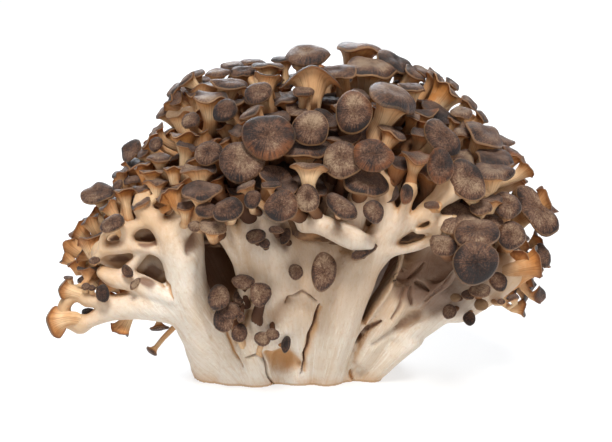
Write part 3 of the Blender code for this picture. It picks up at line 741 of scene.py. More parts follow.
@dataclass
class FleshField:
    """Flesh as a signed distance on a grid: below zero is inside."""

    low: tuple[float, float, float]
    high: tuple[float, float, float]
    step: float

    def __post_init__(self) -> None:
        """Lays out the empty grid."""
        self.axes = [
            (low + self.step * np.arange(int((high - low) / self.step) + 1)).astype(np.float32)
            for low, high in zip(self.low, self.high)
        ]
        self.values = np.full([len(axis) for axis in self.axes], FAR, np.float32)

    def window(self, low: np.ndarray, high: np.ndarray) -> tuple[slice, slice, slice]:
        """The part of the grid that a box covers."""
        spans = []
        for axis, start, end in zip(self.axes, low, high):
            spans.append(slice(int(np.searchsorted(axis, start)), int(np.searchsorted(axis, end))))
        return tuple(spans)

    def places(self, window: tuple[slice, slice, slice]) -> tuple[np.ndarray, np.ndarray, np.ndarray]:
        """The grid's coordinates in a window, ready to be combined."""
        x, y, z = (axis[span] for axis, span in zip(self.axes, window))
        return x[:, None, None], y[None, :, None], z[None, None, :]

    def join(self, stations: list[Station], blend: float) -> None:
        """Adds a limb, webbed into what is there.

        Args:
            stations: along the limb, its middle, its side direction, its half width and its half depth.
            blend: how far the web reaches.
        """
        points = np.array([s[0] for s in stations])
        widest = max(max(s[2], s[3]) for s in stations) + blend + WEB_MARGIN
        window = self.window(points.min(axis=0) - widest, points.max(axis=0) + widest)
        limb = np.full([span.stop - span.start for span in window], FAR, np.float32)
        if 0 in limb.shape:
            return
        for first, second in zip(stations, stations[1:]):
            self.segment(limb, window, first, second, blend)
        there = self.values[window]
        share = np.clip(0.5 + 0.5 * (there - limb) / blend, 0.0, 1.0)
        self.values[window] = there + (limb - there) * share - blend * share * (1.0 - share)

    def segment(self, limb: np.ndarray, window: tuple, first: tuple, second: tuple, blend: float) -> None:
        """Writes the distance to one oval segment of a limb into the limb's window.

        Args:
            limb: the limb's distances, changed in place.
            window: where they lie in the grid.
            first: the station that the segment starts from.
            second: the station that it ends at.
            blend: how far the web reaches.
        """
        start, end = np.array(first[0]), np.array(second[0])
        along = end - start
        length = float(np.linalg.norm(along))
        if length < 1e-4:
            return
        along /= length
        side = np.array(first[1]) - along * float(np.dot(first[1], along))
        side /= max(np.linalg.norm(side), 1e-6)
        up = np.cross(along, side)
        margin = max(first[2], first[3], second[2], second[3]) + blend + WEB_MARGIN
        low, high = np.minimum(start, end) - margin, np.maximum(start, end) + margin
        part = self.window(low, high)
        inner = tuple(slice(max(p.start, w.start), min(p.stop, w.stop)) for p, w in zip(part, window))
        if any(span.stop <= span.start for span in inner):
            return
        x, y, z = self.places(inner)
        x, y, z = x - start[0], y - start[1], z - start[2]
        run = x * along[0] + y * along[1] + z * along[2]
        share = np.clip(run / length, 0.0, 1.0)
        wide = first[2] + (second[2] - first[2]) * share
        deep = first[3] + (second[3] - first[3]) * share
        least = np.minimum(wide, deep)
        across = x * side[0] + y * side[1] + z * side[2]
        rise = x * up[0] + y * up[1] + z * up[2]
        over = run - share * length
        near = np.sqrt((across / wide) ** 2 + (rise / deep) ** 2 + (over / least) ** 2)
        slope = np.sqrt((across / wide**2) ** 2 + (rise / deep**2) ** 2 + (over / least**2) ** 2)
        distance = near * (near - 1.0) / np.maximum(slope, 1e-5)
        place = tuple(slice(i.start - w.start, i.stop - w.start) for i, w in zip(inner, window))
        limb[place] = np.minimum(limb[place], distance)

    def cut_below(self, z: float) -> None:
        """Cuts the flesh flat at a height and keeps what is above."""
        level = (z - self.axes[2])[None, None, :]
        self.values = np.maximum(self.values, level)

    def openness(self, points: np.ndarray, normals: np.ndarray) -> np.ndarray:
        """How open to the air places on the surface are.

        Args:
            points: the places, one a row.
            normals: the way out of the flesh at each.

        Returns:
            A share for each, 0 in a deep crease and 1 in the open.
        """
        total = np.zeros(len(points))
        steps = (1.5, 3.0, 5.0, 8.0, 12.0)
        for reach in steps:
            at = points + normals * reach
            index = [
                np.clip(((at[:, i] - self.low[i]) / self.step).round().astype(int), 0, len(self.axes[i]) - 1)
                for i in range(3)
            ]
            total += np.clip(self.values[index[0], index[1], index[2]] / reach, 0.0, 1.0)
        return total / len(steps)

    def surface(self) -> tuple[np.ndarray, np.ndarray, np.ndarray]:
        """The skin of the flesh.

        Returns:
            Its points in millimetres, its triangles and its quads.
        """
        grid = openvdb.FloatGrid(FAR)
        grid.copyFromArray(self.values)
        points, triangles, quads = grid.convertToPolygons(0.0, 0.0)
        return points * self.step + np.array(self.low), triangles, quads


def smooth_run(run: Run, per_span: int) -> list[tuple[Vector, float, float]]:
    """Stations along a soft curve through a run.

    Args:
        run: the run's own points.
        per_span: how many stations there are between two of them.

    Returns:
        The middle, half width and half depth of each station.
    """
    rows = np.array(run, float)
    padded = np.vstack([2 * rows[0] - rows[1], rows, 2 * rows[-1] - rows[-2]])
    stations = []
    for i in range(1, len(padded) - 2):
        a, b, c, d = padded[i - 1 : i + 3]
        for t in np.linspace(0, 1, per_span, endpoint=False):
            bend = (2 * a - 5 * b + 4 * c - d) * t**2
            twist = (3 * b - a - 3 * c + d) * t**3
            stations.append(0.5 * (2 * b + (c - a) * t + bend + twist))
    stations.append(rows[-1])
    return [(Vector(row[:3]), float(row[3]), float(row[4])) for row in stations]


@dataclass
class StemMass:
    """The butt, the stems and the branches as one webbed mass."""

    growth: Growth
    step: float = 1.06
    stem_blend: float = 3.6
    front_blend: float = 3.0
    front_blends: dict[str, float] = field(
        default_factory=lambda: {
            "middle_left": 1.4,
            "middle_right": 0.8,
            "right_rim": 1.2,
            "right_low": 1.5,
            "left_bar": 1.6,
            "left_low_bar": 1.4,
            "left_link": 1.6,
            "left_join": 1.6,
            "left_slot": 1.4,
            "left_wall": 1.2,
            "left_high_wall": 1.2,
            "left_far_link": 1.4,
            "left_low_up": 1.8,
            "y_arm": 1.6,
            "y_low_arm": 1.6,
            "y_low_bridge": 1.2,
            "y_up_slot": 1.4,
            "lying": 1.4,
        }
    )
    socket_blend: float = 1.8
    # (places along the line, half width, depth, colour: amber if it is more than 0, and painted brown shade
    # if less)
    seams: tuple[Seam, ...] = (
        (((4.5, 33.5), (4, 30), (2, 23.5), (0.5, 18), (-0.5, 13), (-1, 5)), 0.45, 2.6, -1.6),
        (((5, 32.5), (2.5, 23), (0, 15.5), (-0.5, 5.5)), 1.3, 0.6, 0.75),
        (((3.5, 35), (-1, 38), (-5, 36.5), (-7, 33)), 0.6, 1.2, -0.6),
        (((0.5, 32.5), (-2, 35)), 5, 0.8, -0.3),
        (((-29, 26.5), (-27.5, 22), (-26.5, 17), (-23, 8.5)), 0.5, 1.2, 0.9),
        # The amber in this wide recess is painted warm shade.
        (((-13, 13), (-7.5, 9.5), (-2.5, 8)), 4.5, 3.2, 0.85),
        (((-21, 13), (-16, 14), (-14.5, 10.5), (-12, 0)), 0.5, 2, -0.6),
        (((-5.5, 35), (-10, 29), (-12.5, 24.5)), 4, 3.4, -0.4),
        (((17.5, 16.5), (21, 21), (26.5, 25.5)), 0.7, 1.8, -0.9),
        (((23.5, 16), (37, 24), (52, 33)), 1.6, 1.4, -0.4),
        (((32, 21.5), (44, 30.5), (53, 38.5)), 1.6, 1.6, -0.6),
        (((37, 38), (37, 30.5)), 0.7, 1.8, -1.2),
        (((39, 39), (43, 36.5)), 0.6, 2.4, -1.8),
        (((34, 38), (33.5, 32.5), (30.5, 25.5)), 0.8, 1.2, -0.7),
        (((42, 32.5), (47.5, 37.5), (51.5, 43.5)), 0.9, 1.4, -0.8),
        (((36, 41), (42, 46)), 1, 1.8, -1.1),
        (((44, 40), (50.5, 46)), 1.2, 1.8, -1.1),
        # Broad painted shade over the right stem's upper part.
        (((33.5, 41), (43, 45), (51, 47.5)), 6.5, 2.5, -1),
        (((33.5, 36), (47.5, 37.5)), 8, 0, -0.8),
        (((-50.5, 42.5), (-47.5, 40), (-46, 36)), 0.5, 0.9, 0.9),
        (((16.5, 4.5), (17, 0)), 0.6, 2, 0.9),
        # Broad painted shade over the right stem.
        (((44, 30.5), (51, 39.5)), 13, 0, -0.7),
        (((-37.5, 58), (-40, 52.5)), 2.8, 3, -0.9),
        (((-8, 62), (-7, 54.5)), 3, 1.5, -0.8),
        (((-32.5, 48), (-31.5, 38)), 3.5, 1, -0.6),
        (((-26, 34.5), (-24.5, 27)), 5, 1, -0.6),
        (((-44, 34.5), (-37, 18)), 6, 0.4, -0.12),
        (((10, 48.5), (8.5, 35)), 2.5, 0.8, -0.1),
        (((18, 46), (15, 35), (12, 24.5)), 2, 0.7, -0.08),
        (((-37, 48), (-37, 34.5), (-33, 20)), 1.4, 0.6, -0.08),
        (((-13, 48.5), (-15, 38.5), (-18.5, 28)), 2, 0.8, -0.08),
        (((0, 57.5), (5.5, 56.5), (11.5, 54), (17, 51)), 1.7, 2.2, -0.4),
        # Painted shade on the walls seen through the left windows.
        (((-57.5, 55), (-52, 54.5)), 1.5, 0, -1.3),
        (((-68.5, 55), (-64.5, 55)), 1.1, 0, -1),
        (((-68.5, 47), (-62, 48)), 1.2, 0, -1.1),
        (((-56.5, 42), (-52, 42.5)), 2.8, 0, -1.5),
    )

    def build(self, stalks: list[list[Station]]) -> bpy.types.Object:
        """Makes the mass.

        Args:
            stalks: the lower ends of the stalks that stand on limbs, which web into them.

        Returns:
            The piece.
        """
        field_ = FleshField((-92, -62, -3), (90, 68, 100), self.step)
        for run in [*self.growth.stems.values(), *self.growth.branches.values()]:
            field_.join(self.stations(run), self.stem_blend)
        for name, run in self.growth.front_limbs.items():
            field_.join(self.stations(run), self.front_blends.get(name, self.front_blend))
        for stalk in stalks:
            field_.join(stalk, self.socket_blend)
        field_.cut_below(0.0)
        points, triangles, quads = field_.surface()
        mesh = bpy.data.meshes.new("stem_mass")
        mesh.from_pydata(points * MM, [], triangles.tolist() + quads.tolist())
        self.tidy(mesh)
        self.refine(mesh)
        self.mark(mesh, field_)
        mesh.shade_smooth()
        return placed("stem_mass", mesh)

    @staticmethod
    def stations(run: Run) -> list[Station]:
        """A run's stations, each with the direction of its half width."""
        soft = smooth_run(run, 5)
        stations = []
        for i, (middle, wide, deep) in enumerate(soft):
            along = (soft[min(i + 1, len(soft) - 1)][0] - soft[max(i - 1, 0)][0]).normalized()
            side = Vector((0, 0, 1)) if abs(along.z) < 0.6 else Vector((1, 0, 0))
            stations.append((middle, side, wide, deep))
        return stations

    def tidy(self, mesh: bpy.types.Mesh) -> None:
        """Drops loose scraps and sealed hollows, smooths the skin and points its faces outwards."""
        bm = bmesh.new()
        bm.from_mesh(mesh)
        unseen = set(bm.verts)
        shells = []
        while unseen:
            front = [unseen.pop()]
            shell = set(front)
            while front:
                for edge in front.pop().link_edges:
                    for vert in edge.verts:
                        if vert in unseen:
                            unseen.remove(vert)
                            shell.add(vert)
                            front.append(vert)
            shells.append(shell)
        largest = max(shells, key=len)
        spare = [vert for shell in shells if shell is not largest for vert in shell]
        bmesh.ops.delete(bm, geom=spare, context="VERTS")
        for _ in range(2):
            bmesh.ops.smooth_vert(
                bm, verts=bm.verts, factor=0.5, use_axis_x=True, use_axis_y=True, use_axis_z=True
            )
        for vert in bm.verts:
            if vert.co.z < 0.6 * MM:
                vert.co.z = 0.0
        bmesh.ops.recalc_face_normals(bm, faces=bm.faces)
        bm.to_mesh(mesh)
        bm.free()

    def refine(self, mesh: bpy.types.Mesh) -> None:
        """Divides the skin more finely along the thin cracks."""
        bm = bmesh.new()
        bm.from_mesh(mesh)
        bm.verts.ensure_lookup_table()
        points = np.array([vert.co for vert in bm.verts]) / MM
        near = np.zeros(len(points), bool)
        for line, half_width, _, _ in self.seams:
            if half_width < 1.1:
                near |= self.nearness(points, line, half_width + 1.2) > 0.12
        edges = [edge for edge in bm.edges if all(near[v.index] and v.normal.y < 0.2 for v in edge.verts)]
        bmesh.ops.subdivide_edges(bm, edges=edges, cuts=2, use_grid_fill=True, smooth=0.6)
        bm.to_mesh(mesh)
        bm.free()

    @staticmethod
    def nearness(points: np.ndarray, line: tuple, half_width: float) -> np.ndarray:
        """How near points at the front lie to a line, seen from the front.

        Args:
            points: the points, one a row.
            line: the places along the line, as (x, z).
            half_width: how far the line's own softness reaches.

        Returns:
            A share for each, 1 on the line.
        """
        flat = points[:, [0, 2]] + 0.28 * np.sin(points[:, [2, 0]] * 0.75 + half_width * 9)
        share = np.zeros(len(points))
        for i, (start, end) in enumerate(zip(line, line[1:])):
            start, along = np.array(start, float), np.array(end, float) - np.array(start, float)
            run = np.clip((flat - start) @ along / max(along @ along, 1e-6), 0.0, 1.0)
            away = np.linalg.norm(flat - start - run[:, None] * along, axis=1)
            width = half_width * (0.45 + 0.7 * np.sin(math.pi * (i + run) / (len(line) - 1)))
            share = np.maximum(share, np.exp(-((away / width) ** 2)))
        return share * (points[:, 1] < 0)

    def mark(self, mesh: bpy.types.Mesh, field_: FleshField) -> None:
        """Raises strands along the flesh, carves the seams in amber or painted shade, paints shade on
        recessed walls, and marks how open and how deep in the crown each place is.
        """
        count = len(mesh.vertices)
        points = np.empty(count * 3)
        normals = np.empty(count * 3)
        mesh.vertices.foreach_get("co", points)
        mesh.vertices.foreach_get("normal", normals)
        points, normals = points.reshape(-1, 3) / MM, normals.reshape(-1, 3)
        lift = np.empty(count)
        for i, point in enumerate(points):
            away = Vector(point) - Vector((0, 0, -30))
            length = away.length
            grain = away / length * 14
            lift[i] = 0.55 * noise.noise(grain + Vector((0, 0, length * 0.02)))
            lift[i] += 0.35 * noise.noise(Vector(point) * 0.09)
        lift *= np.clip(points[:, 2] / 3.0, 0.0, 1.0)
        stain_and_warm_shade, shade = np.zeros(count), np.zeros(count)
        # Each seam carves its groove and paints amber, or painted brown shade where its colour is below 0.
        for line, half_width, depth, colour in self.seams:
            share = self.nearness(points, line, half_width) * np.clip(-normals[:, 1] * 2.0, 0.0, 1.0)
            lift -= depth * share
            stain_and_warm_shade = np.maximum(stain_and_warm_shade, colour * share)
            shade = np.maximum(shade, -colour * share)
        x, y, z = points.T
        # Painted shade on the recessed walls between and past the front stems.
        recess_shade = np.interp(y, (-24, -13, 40, 48), (0, 1, 1, 0)) * np.interp(z, (24, 34), (0, 1))
        recess_shade *= np.interp(np.abs(x), (40, 50), (1, 0)) * np.clip(-normals[:, 1] * 4.0, 0.0, 1.0)
        shade = np.maximum(shade, 1.6 * recess_shade)
        set_mark(mesh, "stain_and_warm_shade", stain_and_warm_shade)
        set_mark(mesh, "shade", shade)
        points += normals * lift[:, None]
        points[:, 2] = np.maximum(points[:, 2], 0.0)
        mesh.vertices.foreach_set("co", (points * MM).ravel())
        # How shut in each place is, which the stems' material darkens as painted shade.
        opened = field_.openness(points, normals)
        set_mark(mesh, "crease", 1.0 - opened)
        # How deep in the crown each place is, which the stems' material darkens as painted shade.
        depth = self.growth.outline.depth(points)
        set_mark(mesh, "sunk", depth)
        mesh.update()


# ---------------------------------------------------------------------------------------------------------
# Fronds.
# ---------------------------------------------------------------------------------------------------------


@dataclass(frozen=True)
class Weave:
    """How finely a frond is divided: round it, along the stalk, under the cap and over it."""

    sides: int
    stalk: tuple[float, ...]
    under: tuple[float, ...]
    top: tuple[float, ...]


FINE = Weave(
    sides=32,
    stalk=(0.0, 0.25, 0.5, 0.75),
    under=(0.0, 0.16, 0.34, 0.54, 0.74, 0.9),
    top=(0.98, 0.93, 0.84, 0.7, 0.5, 0.3, 0.12),
)
COARSE = Weave(16, (0.0, 0.35, 0.7), (0.0, 0.3, 0.6, 0.88), (0.95, 0.78, 0.5, 0.2))


class FrondBlank:
    """A plain closed tube, one ring for each station, which every frond of a weave is shaped from."""

    def __init__(self, weave: Weave) -> None:
        """Makes the tube.

        Args:
            weave: how finely it is divided.
        """
        self.weave = weave
        self.rings = len(weave.stalk) + len(weave.under) + 2 + len(weave.top)
        bm = bmesh.new()
        made = bmesh.ops.create_circle(bm, cap_ends=False, segments=weave.sides, radius=1.0)
        edges = list({edge for vert in made["verts"] for edge in vert.link_edges})
        bmesh.ops.contextual_create(bm, geom=edges)
        for _ in range(self.rings - 1):
            parts = bmesh.ops.extrude_edge_only(bm, edges=edges)["geom"]
            edges = [part for part in parts if isinstance(part, bmesh.types.BMEdge)]
            verts = [part for part in parts if isinstance(part, bmesh.types.BMVert)]
            bmesh.ops.translate(bm, verts=verts, vec=(0, 0, 1))
        lid = bmesh.ops.contextual_create(bm, geom=edges)["faces"]
        bmesh.ops.recalc_face_normals(bm, faces=bm.faces)
        bmesh.ops.poke(bm, faces=lid)
        skin_from = self.rings - len(weave.top) - 1
        for face in bm.faces:
            face.material_index = 1 if min(vert.co.z for vert in face.verts) > skin_from - 0.5 else 0
        self.mesh = mesh_of(bm, "frond_blank")
        place = np.empty(len(self.mesh.vertices) * 3)
        self.mesh.vertices.foreach_get("co", place)
        place = place.reshape(-1, 3)
        self.pole = np.hypot(place[:, 0], place[:, 1]) < 0.5
        self.ring = place[:, 2].round().astype(int)
        turn = np.arctan2(place[:, 1], place[:, 0]) / (2 * math.pi) * weave.sides
        self.turn = turn.round().astype(int) % weave.sides


@dataclass
class Frond:
    """One frond: a stalk that flares like a trumpet into a thin cap."""

    cap: Cap
    root: Vector
    root_way: Vector
    rim: float = 0.45
    on_limb: bool = False
    most_luck: float = 0.75
    golden_luck: float = 0.95
    plain_luck: float = 0.03

    def __post_init__(self) -> None:
        """Works out the waves of this one cap from where it stands."""
        self.shape: FormShape = self.cap.form.value
        key = self.cap.middle
        self.rng = random.Random(round(key.x * 13 + key.y * 7 + key.z * 3, 3))
        self.phases = [self.rng.uniform(0, 2 * math.pi) for _ in range(6)]
        self.rim = min(self.rim, 0.14 * self.cap.reach)
        least = min(self.cap.half_width, self.cap.half_height)
        self.neck = max(0.9, self.shape.neck * least * self.rng.uniform(0.85, 1.15))
        self.up = self.cap.facing.cross(self.cap.side)
        way = -1.0 if self.shape.offset > 0.2 else self.rng.choice((-1.0, 1.0))
        offset = Vector((0.0, way)) * self.shape.offset
        self.offset = (offset.x * self.cap.half_width, offset.y * self.cap.half_height + self.cap.lean * 0.4)

    def throat(self) -> Vector:
        """Where the stalk turns into the cap's trumpet."""
        x, y = self.offset
        depth = self.shape.depth * self.cap.reach
        return self.cap.middle + self.cap.side * x + self.up * y - self.cap.facing * depth

    def path(self, shares: tuple[float, ...]) -> list[tuple[Vector, Vector]]:
        """The stalk's middle line.

        Args:
            shares: how far along each wanted place is, from 0 at the root to 1 at the throat.

        Returns:
            The place and the direction at each.
        """
        start, end = self.root, self.throat()
        pull = (end - start).length * 0.9
        first, last = self.root_way * pull, self.cap.facing * pull
        places = []
        for t in shares:
            place = (
                start * (2 * t**3 - 3 * t**2 + 1)
                + first * (t**3 - 2 * t**2 + t)
                + end * (3 * t**2 - 2 * t**3)
                + last * (t**3 - t**2)
            )
            way = (
                start * (6 * t**2 - 6 * t)
                + first * (3 * t**2 - 4 * t + 1)
                + end * (6 * t - 6 * t**2)
                + last * (3 * t**2 - 2 * t)
            )
            places.append((place, way.normalized() if way.length > 1e-6 else self.cap.facing.copy()))
        return places

    def thickness(self, share: float) -> float:
        """The stalk's half width at a share of its length."""
        return self.neck * (1.0 + 0.35 * (1.0 - share) ** 2)

    def socket(self) -> list[Station]:
        """The stalk's lower end as stations of flesh, which web into the limb that it stands on."""
        shares = (0.0, 0.12, 0.25, 0.4, 0.55)
        stations = []
        for share, (place, _) in zip(shares, self.path(shares)):
            half = self.thickness(share) * (1.05 - 0.3 * share)
            stations.append((place, self.cap.side, half, half))
        return stations

    def outline(self, turn: np.ndarray) -> np.ndarray:
        """How far the rim reaches in each direction, as a share of the cap's size."""
        a, b, c = self.phases[:3]
        waves = 0.7 * np.sin(2 * turn + a) + 0.5 * np.sin(3 * turn + b) + 0.2 * np.sin(5 * turn + c)
        return 1.0 + self.shape.lobes * waves

    def sheet(self, x: np.ndarray, share: np.ndarray, turn: np.ndarray) -> np.ndarray:
        """How high the cap's rim plane is, with its bowl, waves and fold.

        Args:
            x: the places across the cap.
            share: how far out each place is, 1 at the rim.
            turn: the direction of each from the middle.

        Returns:
            The height of each over the cap's middle plane.
        """
        shape, reach = self.shape, self.cap.reach
        d, e, f = self.phases[3:]
        rise = -shape.cup * (1 - share**2)
        ruffle = np.sin(shape.waves * turn + d) + 0.5 * np.sin((shape.waves + 2) * turn + e)
        rise += shape.ruffle * share**2.6 * ruffle
        rise += 0.012 * share**4 * np.sin(8 * turn + f)
        rise += shape.fold * (np.abs(x / reach) ** 1.7 - 0.3)
        return rise * reach

    def top(self, x: np.ndarray, share: np.ndarray, turn: np.ndarray) -> np.ndarray:
        """How high the cap's top is: its rim plane and the cushion on it.

        Args:
            x: the places across the cap.
            share: how far out each place is, 1 at the rim.
            turn: the direction of each from the middle.

        Returns:
            The height of each over the cap's middle plane.
        """
        cushion = self.shape.cushion * np.clip(1 - share**2.4, 0, None) ** 0.6
        cushion -= self.shape.dip * np.exp(-((share / 0.28) ** 2))
        return self.sheet(x, share, turn) + cushion * self.cap.reach

    def shaped(self, blank: FrondBlank) -> dict[str, np.ndarray]:
        """The frond's points and marks.

        Args:
            blank: the blank that it is shaped from.

        Returns:
            By name, an array with a row or a value for each of the blank's points.
        """
        weave = blank.weave
        turn = np.arange(weave.sides) * 2 * math.pi / weave.sides
        cos, sin = np.cos(turn), np.sin(turn)
        edge = self.outline(turn)
        rim_x, rim_y = self.cap.half_width * edge * cos, self.cap.half_height * edge * sin
        side, up, facing = (np.array(v) for v in (self.cap.side, self.up, self.cap.facing))
        middle = np.array(self.cap.middle)
        depth = self.shape.depth * self.cap.reach
        rings, skin, out = [], [], []

        ways = self.path(weave.stalk + (1.0,))
        turned = [self.cap.side.copy()]
        for (_, way), (_, after) in zip(reversed(ways[:-1]), reversed(ways[1:])):
            turned.append(after.rotation_difference(way) @ turned[-1])
        turned.reverse()
        for (place, way), across, share in zip(ways[:-1], turned, weave.stalk):
            across = (across - way * across.dot(way)).normalized()
            high = way.cross(across)
            half = self.thickness(share)
            ring = cos[:, None] * np.array(across) + sin[:, None] * np.array(high)
            rings.append(np.array(place) + half * ring)
            skin.append(0.0)
            out.append(0.0)

        neck_x, neck_y = self.neck * cos + self.offset[0], self.neck * sin + self.offset[1]
        for share in weave.under:
            x, y = neck_x + (rim_x - neck_x) * share, neck_y + (rim_y - neck_y) * share
            fall = (1 - share) ** self.shape.flare
            lower = self.sheet(x, np.full_like(x, max(share, 0.3)), turn)
            lower = lower - self.rim * (1.0 + 1.2 * (1 - share))
            z = -depth * fall + lower * (1 - fall)
            rings.append(middle + x[:, None] * side + y[:, None] * up + z[:, None] * facing)
            skin.append(0.0)
            out.append(share)

        for spread, drop, mark in ((1.0, 0.8, 0.0), (1.015, 0.35, 0.35)):
            x, y = rim_x * spread, rim_y * spread
            z = self.sheet(x, np.ones_like(x), turn) - self.rim * drop
            rings.append(middle + x[:, None] * side + y[:, None] * up + z[:, None] * facing)
            skin.append(mark)
            out.append(1.0)
        for share in weave.top:
            x, y = rim_x * share, rim_y * share
            z = self.top(x, np.full_like(x, share), turn)
            rings.append(middle + x[:, None] * side + y[:, None] * up + z[:, None] * facing)
            skin.append(1.0)
            out.append(share)

        grid = np.array(rings)
        points = grid[blank.ring, blank.turn]
        points[blank.pole] = middle + facing * self.top(np.zeros(1), np.zeros(1), np.zeros(1))[0]
        reach = np.array(out)[blank.ring] * ~blank.pole
        fibre = np.stack([cos[blank.turn], sin[blank.turn], reach], axis=1)
        kind, tone = (0.0, self.cap.tone) if self.cap.tone < 1.0 else divmod(self.cap.tone, 1.0)
        luck = {0.0: self.most_luck * self.rng.random(), 1.0: self.golden_luck, 2.0: self.plain_luck}[kind]
        return {
            "points": points,
            "skin": np.array(skin)[blank.ring],
            "reach": reach,
            "fibre": fibre,
            "tone": np.full(len(points), tone),
            "luck": np.full(len(points), luck),
        }


@dataclass
class Fronds:
    """All the fronds, gathered into one piece for each side of the crown."""

    growth: Growth
    small_below: float = 4.6

    def plan(self) -> list[Frond]:
        """Every frond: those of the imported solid, and the small ones between them."""
        main = self.growth.scattered_caps(self.growth.front_caps() + self.growth.tip_caps())
        points = self.growth.anchors()
        fronds = []
        for cap in main + self.growth.small_caps(main):
            root, on_limb = self.growth.root_of(cap, points)
            away = (cap.middle - Vector(self.growth.heart_middle)).normalized()
            way = (Vector((0, 0, 0.7)) + away * 0.6).normalized() if on_limb else away
            fronds.append(Frond(cap, root, way, on_limb=on_limb))
        return fronds

    def sockets(self, fronds: list[Frond]) -> list[list[Station]]:
        """The lower ends of the stalks that stand on limbs."""
        return [frond.socket() for frond in fronds if frond.on_limb]

    def build(self, fronds: list[Frond]) -> list[bpy.types.Object]:
        """Makes the pieces.

        Args:
            fronds: every frond.

        Returns:
            One piece for each side of the crown.
        """
        fine, coarse = FrondBlank(FINE), FrondBlank(COARSE)
        sides: dict[str, list[Frond]] = {}
        for frond in fronds:
            sides.setdefault(self.side_of(frond.cap.middle), []).append(frond)
        pieces = []
        for name, members in sorted(sides.items()):
            blanks = [fine if frond.cap.reach > self.small_below else coarse for frond in members]
            pieces.append(self.piece(f"fronds_{name}", members, blanks))
        bpy.data.meshes.remove(fine.mesh)
        bpy.data.meshes.remove(coarse.mesh)
        return pieces

    def side_of(self, point: Vector) -> str:
        """The side of the crown that a point is on."""
        away = point - Vector(self.growth.outline.middle)
        if away.z > 45 and abs(away.y) < 40:
            return "top"
        turn = math.degrees(math.atan2(away.x, -away.y))
        if abs(turn) < 40:
            return "front"
        if abs(turn) > 125:
            return "back"
        return "right" if turn > 0 else "left"

    def piece(self, name: str, fronds: list[Frond], blanks: list[FrondBlank]) -> bpy.types.Object:
        """One mesh of many fronds.

        Args:
            name: the piece's name.
            fronds: its fronds.
            blanks: the blank of each.

        Returns:
            The piece.
        """
        bm = bmesh.new()
        marks = []
        for frond, blank in zip(fronds, blanks):
            bm.from_mesh(blank.mesh)
            marks.append(frond.shaped(blank))
        mesh = mesh_of(bm, name)
        joined = {key: np.concatenate([mark[key] for mark in marks]) for key in marks[0]}
        mesh.vertices.foreach_set("co", (joined["points"] * MM).ravel())
        for key in ("skin", "reach", "tone", "luck"):
            set_mark(mesh, key, joined[key])
        fibre = mesh.attributes.new("fibre", "FLOAT_VECTOR", "POINT")
        fibre.data.foreach_set("vector", joined["fibre"].ravel())
        # How deep in the crown each place is, which the materials darken as painted shade.
        depth = self.growth.outline.depth(joined["points"])
        set_mark(mesh, "sunk", depth)
        mesh.update()
        normals = np.empty(len(mesh.vertices) * 3)
        mesh.vertices.foreach_get("normal", normals)
        # How much each place faces up, which the caps' painted highlight follows.
        set_mark(mesh, "rise", normals[2::3])
        mesh.shade_smooth()
        return placed(name, mesh)


@dataclass
class Heart:
    """The crowded middle of the crown, painted dark as the shade between the stalks."""

    growth: Growth
    share: float = 0.86
    segments: int = 96
    rings: int = 56
    underside: float = 0.3

    def build(self) -> bpy.types.Object:
        """Makes the piece: a dome with the knobs of crowded branchlets."""
        bm = bmesh.new()
        bmesh.ops.create_uvsphere(bm, u_segments=self.segments, v_segments=self.rings, radius=1.0)
        for vert in bm.verts:
            knob = noise.voronoi(vert.co * 7.0)[0][0]
            vert.co *= 1.0 - 0.10 * min(knob * 2.4, 1.0)
            vert.co.z *= self.underside if vert.co.z < 0 else 1.0
        size = Matrix.Diagonal((*(Vector(self.growth.heart_size) * self.share * MM), 1.0))
        place = Matrix.Translation(Vector(self.growth.heart_middle) * MM)
        bmesh.ops.transform(bm, matrix=place @ size, verts=bm.verts)
        mesh = mesh_of(bm, "heart")
        mesh.shade_smooth()
        return placed("heart", mesh)


# ---------------------------------------------------------------------------------------------------------
# Finishes.
# ---------------------------------------------------------------------------------------------------------


class Wire:
    """A value inside a material. The operators add Math nodes, so a finish reads as an expression."""

    def __init__(self, paint: "Paint", socket: bpy.types.NodeSocket) -> None:
        """Wraps a socket of a paint."""
        self.paint, self.socket = paint, socket

    def maths(self, operation: str, *values: "Wire | float") -> "Wire":
        """A Math node on some values."""
        return self.paint.node("ShaderNodeMath", {"operation": operation}, dict(enumerate(values)))

    def __add__(self, other: "Wire | float") -> "Wire":
        """Adds."""
        return self.maths("ADD", self, other)

    __radd__ = __add__

    def __sub__(self, other: "Wire | float") -> "Wire":
        """Takes away."""
        return self.maths("SUBTRACT", self, other)

    def __rsub__(self, other: float) -> "Wire":
        """Takes this away from a number."""
        return self.maths("SUBTRACT", other, self)

    def __mul__(self, other: "Wire | float") -> "Wire":
        """Multiplies."""
        return self.maths("MULTIPLY", self, other)

    __rmul__ = __mul__

    def band(self, start: float, end: float) -> "Wire":
        """Runs softly from 0 to 1 between two values, or from 1 to 0 if the first is the greater."""
        low, high = min(start, end), max(start, end)
        values = {"Value": self, "From Min": low, "From Max": high}
        values |= {"To Min": 0.0, "To Max": 1.0} if start < end else {"To Min": 1.0, "To Max": 0.0}
        return self.paint.node("ShaderNodeMapRange", {"interpolation_type": "SMOOTHSTEP"}, values)


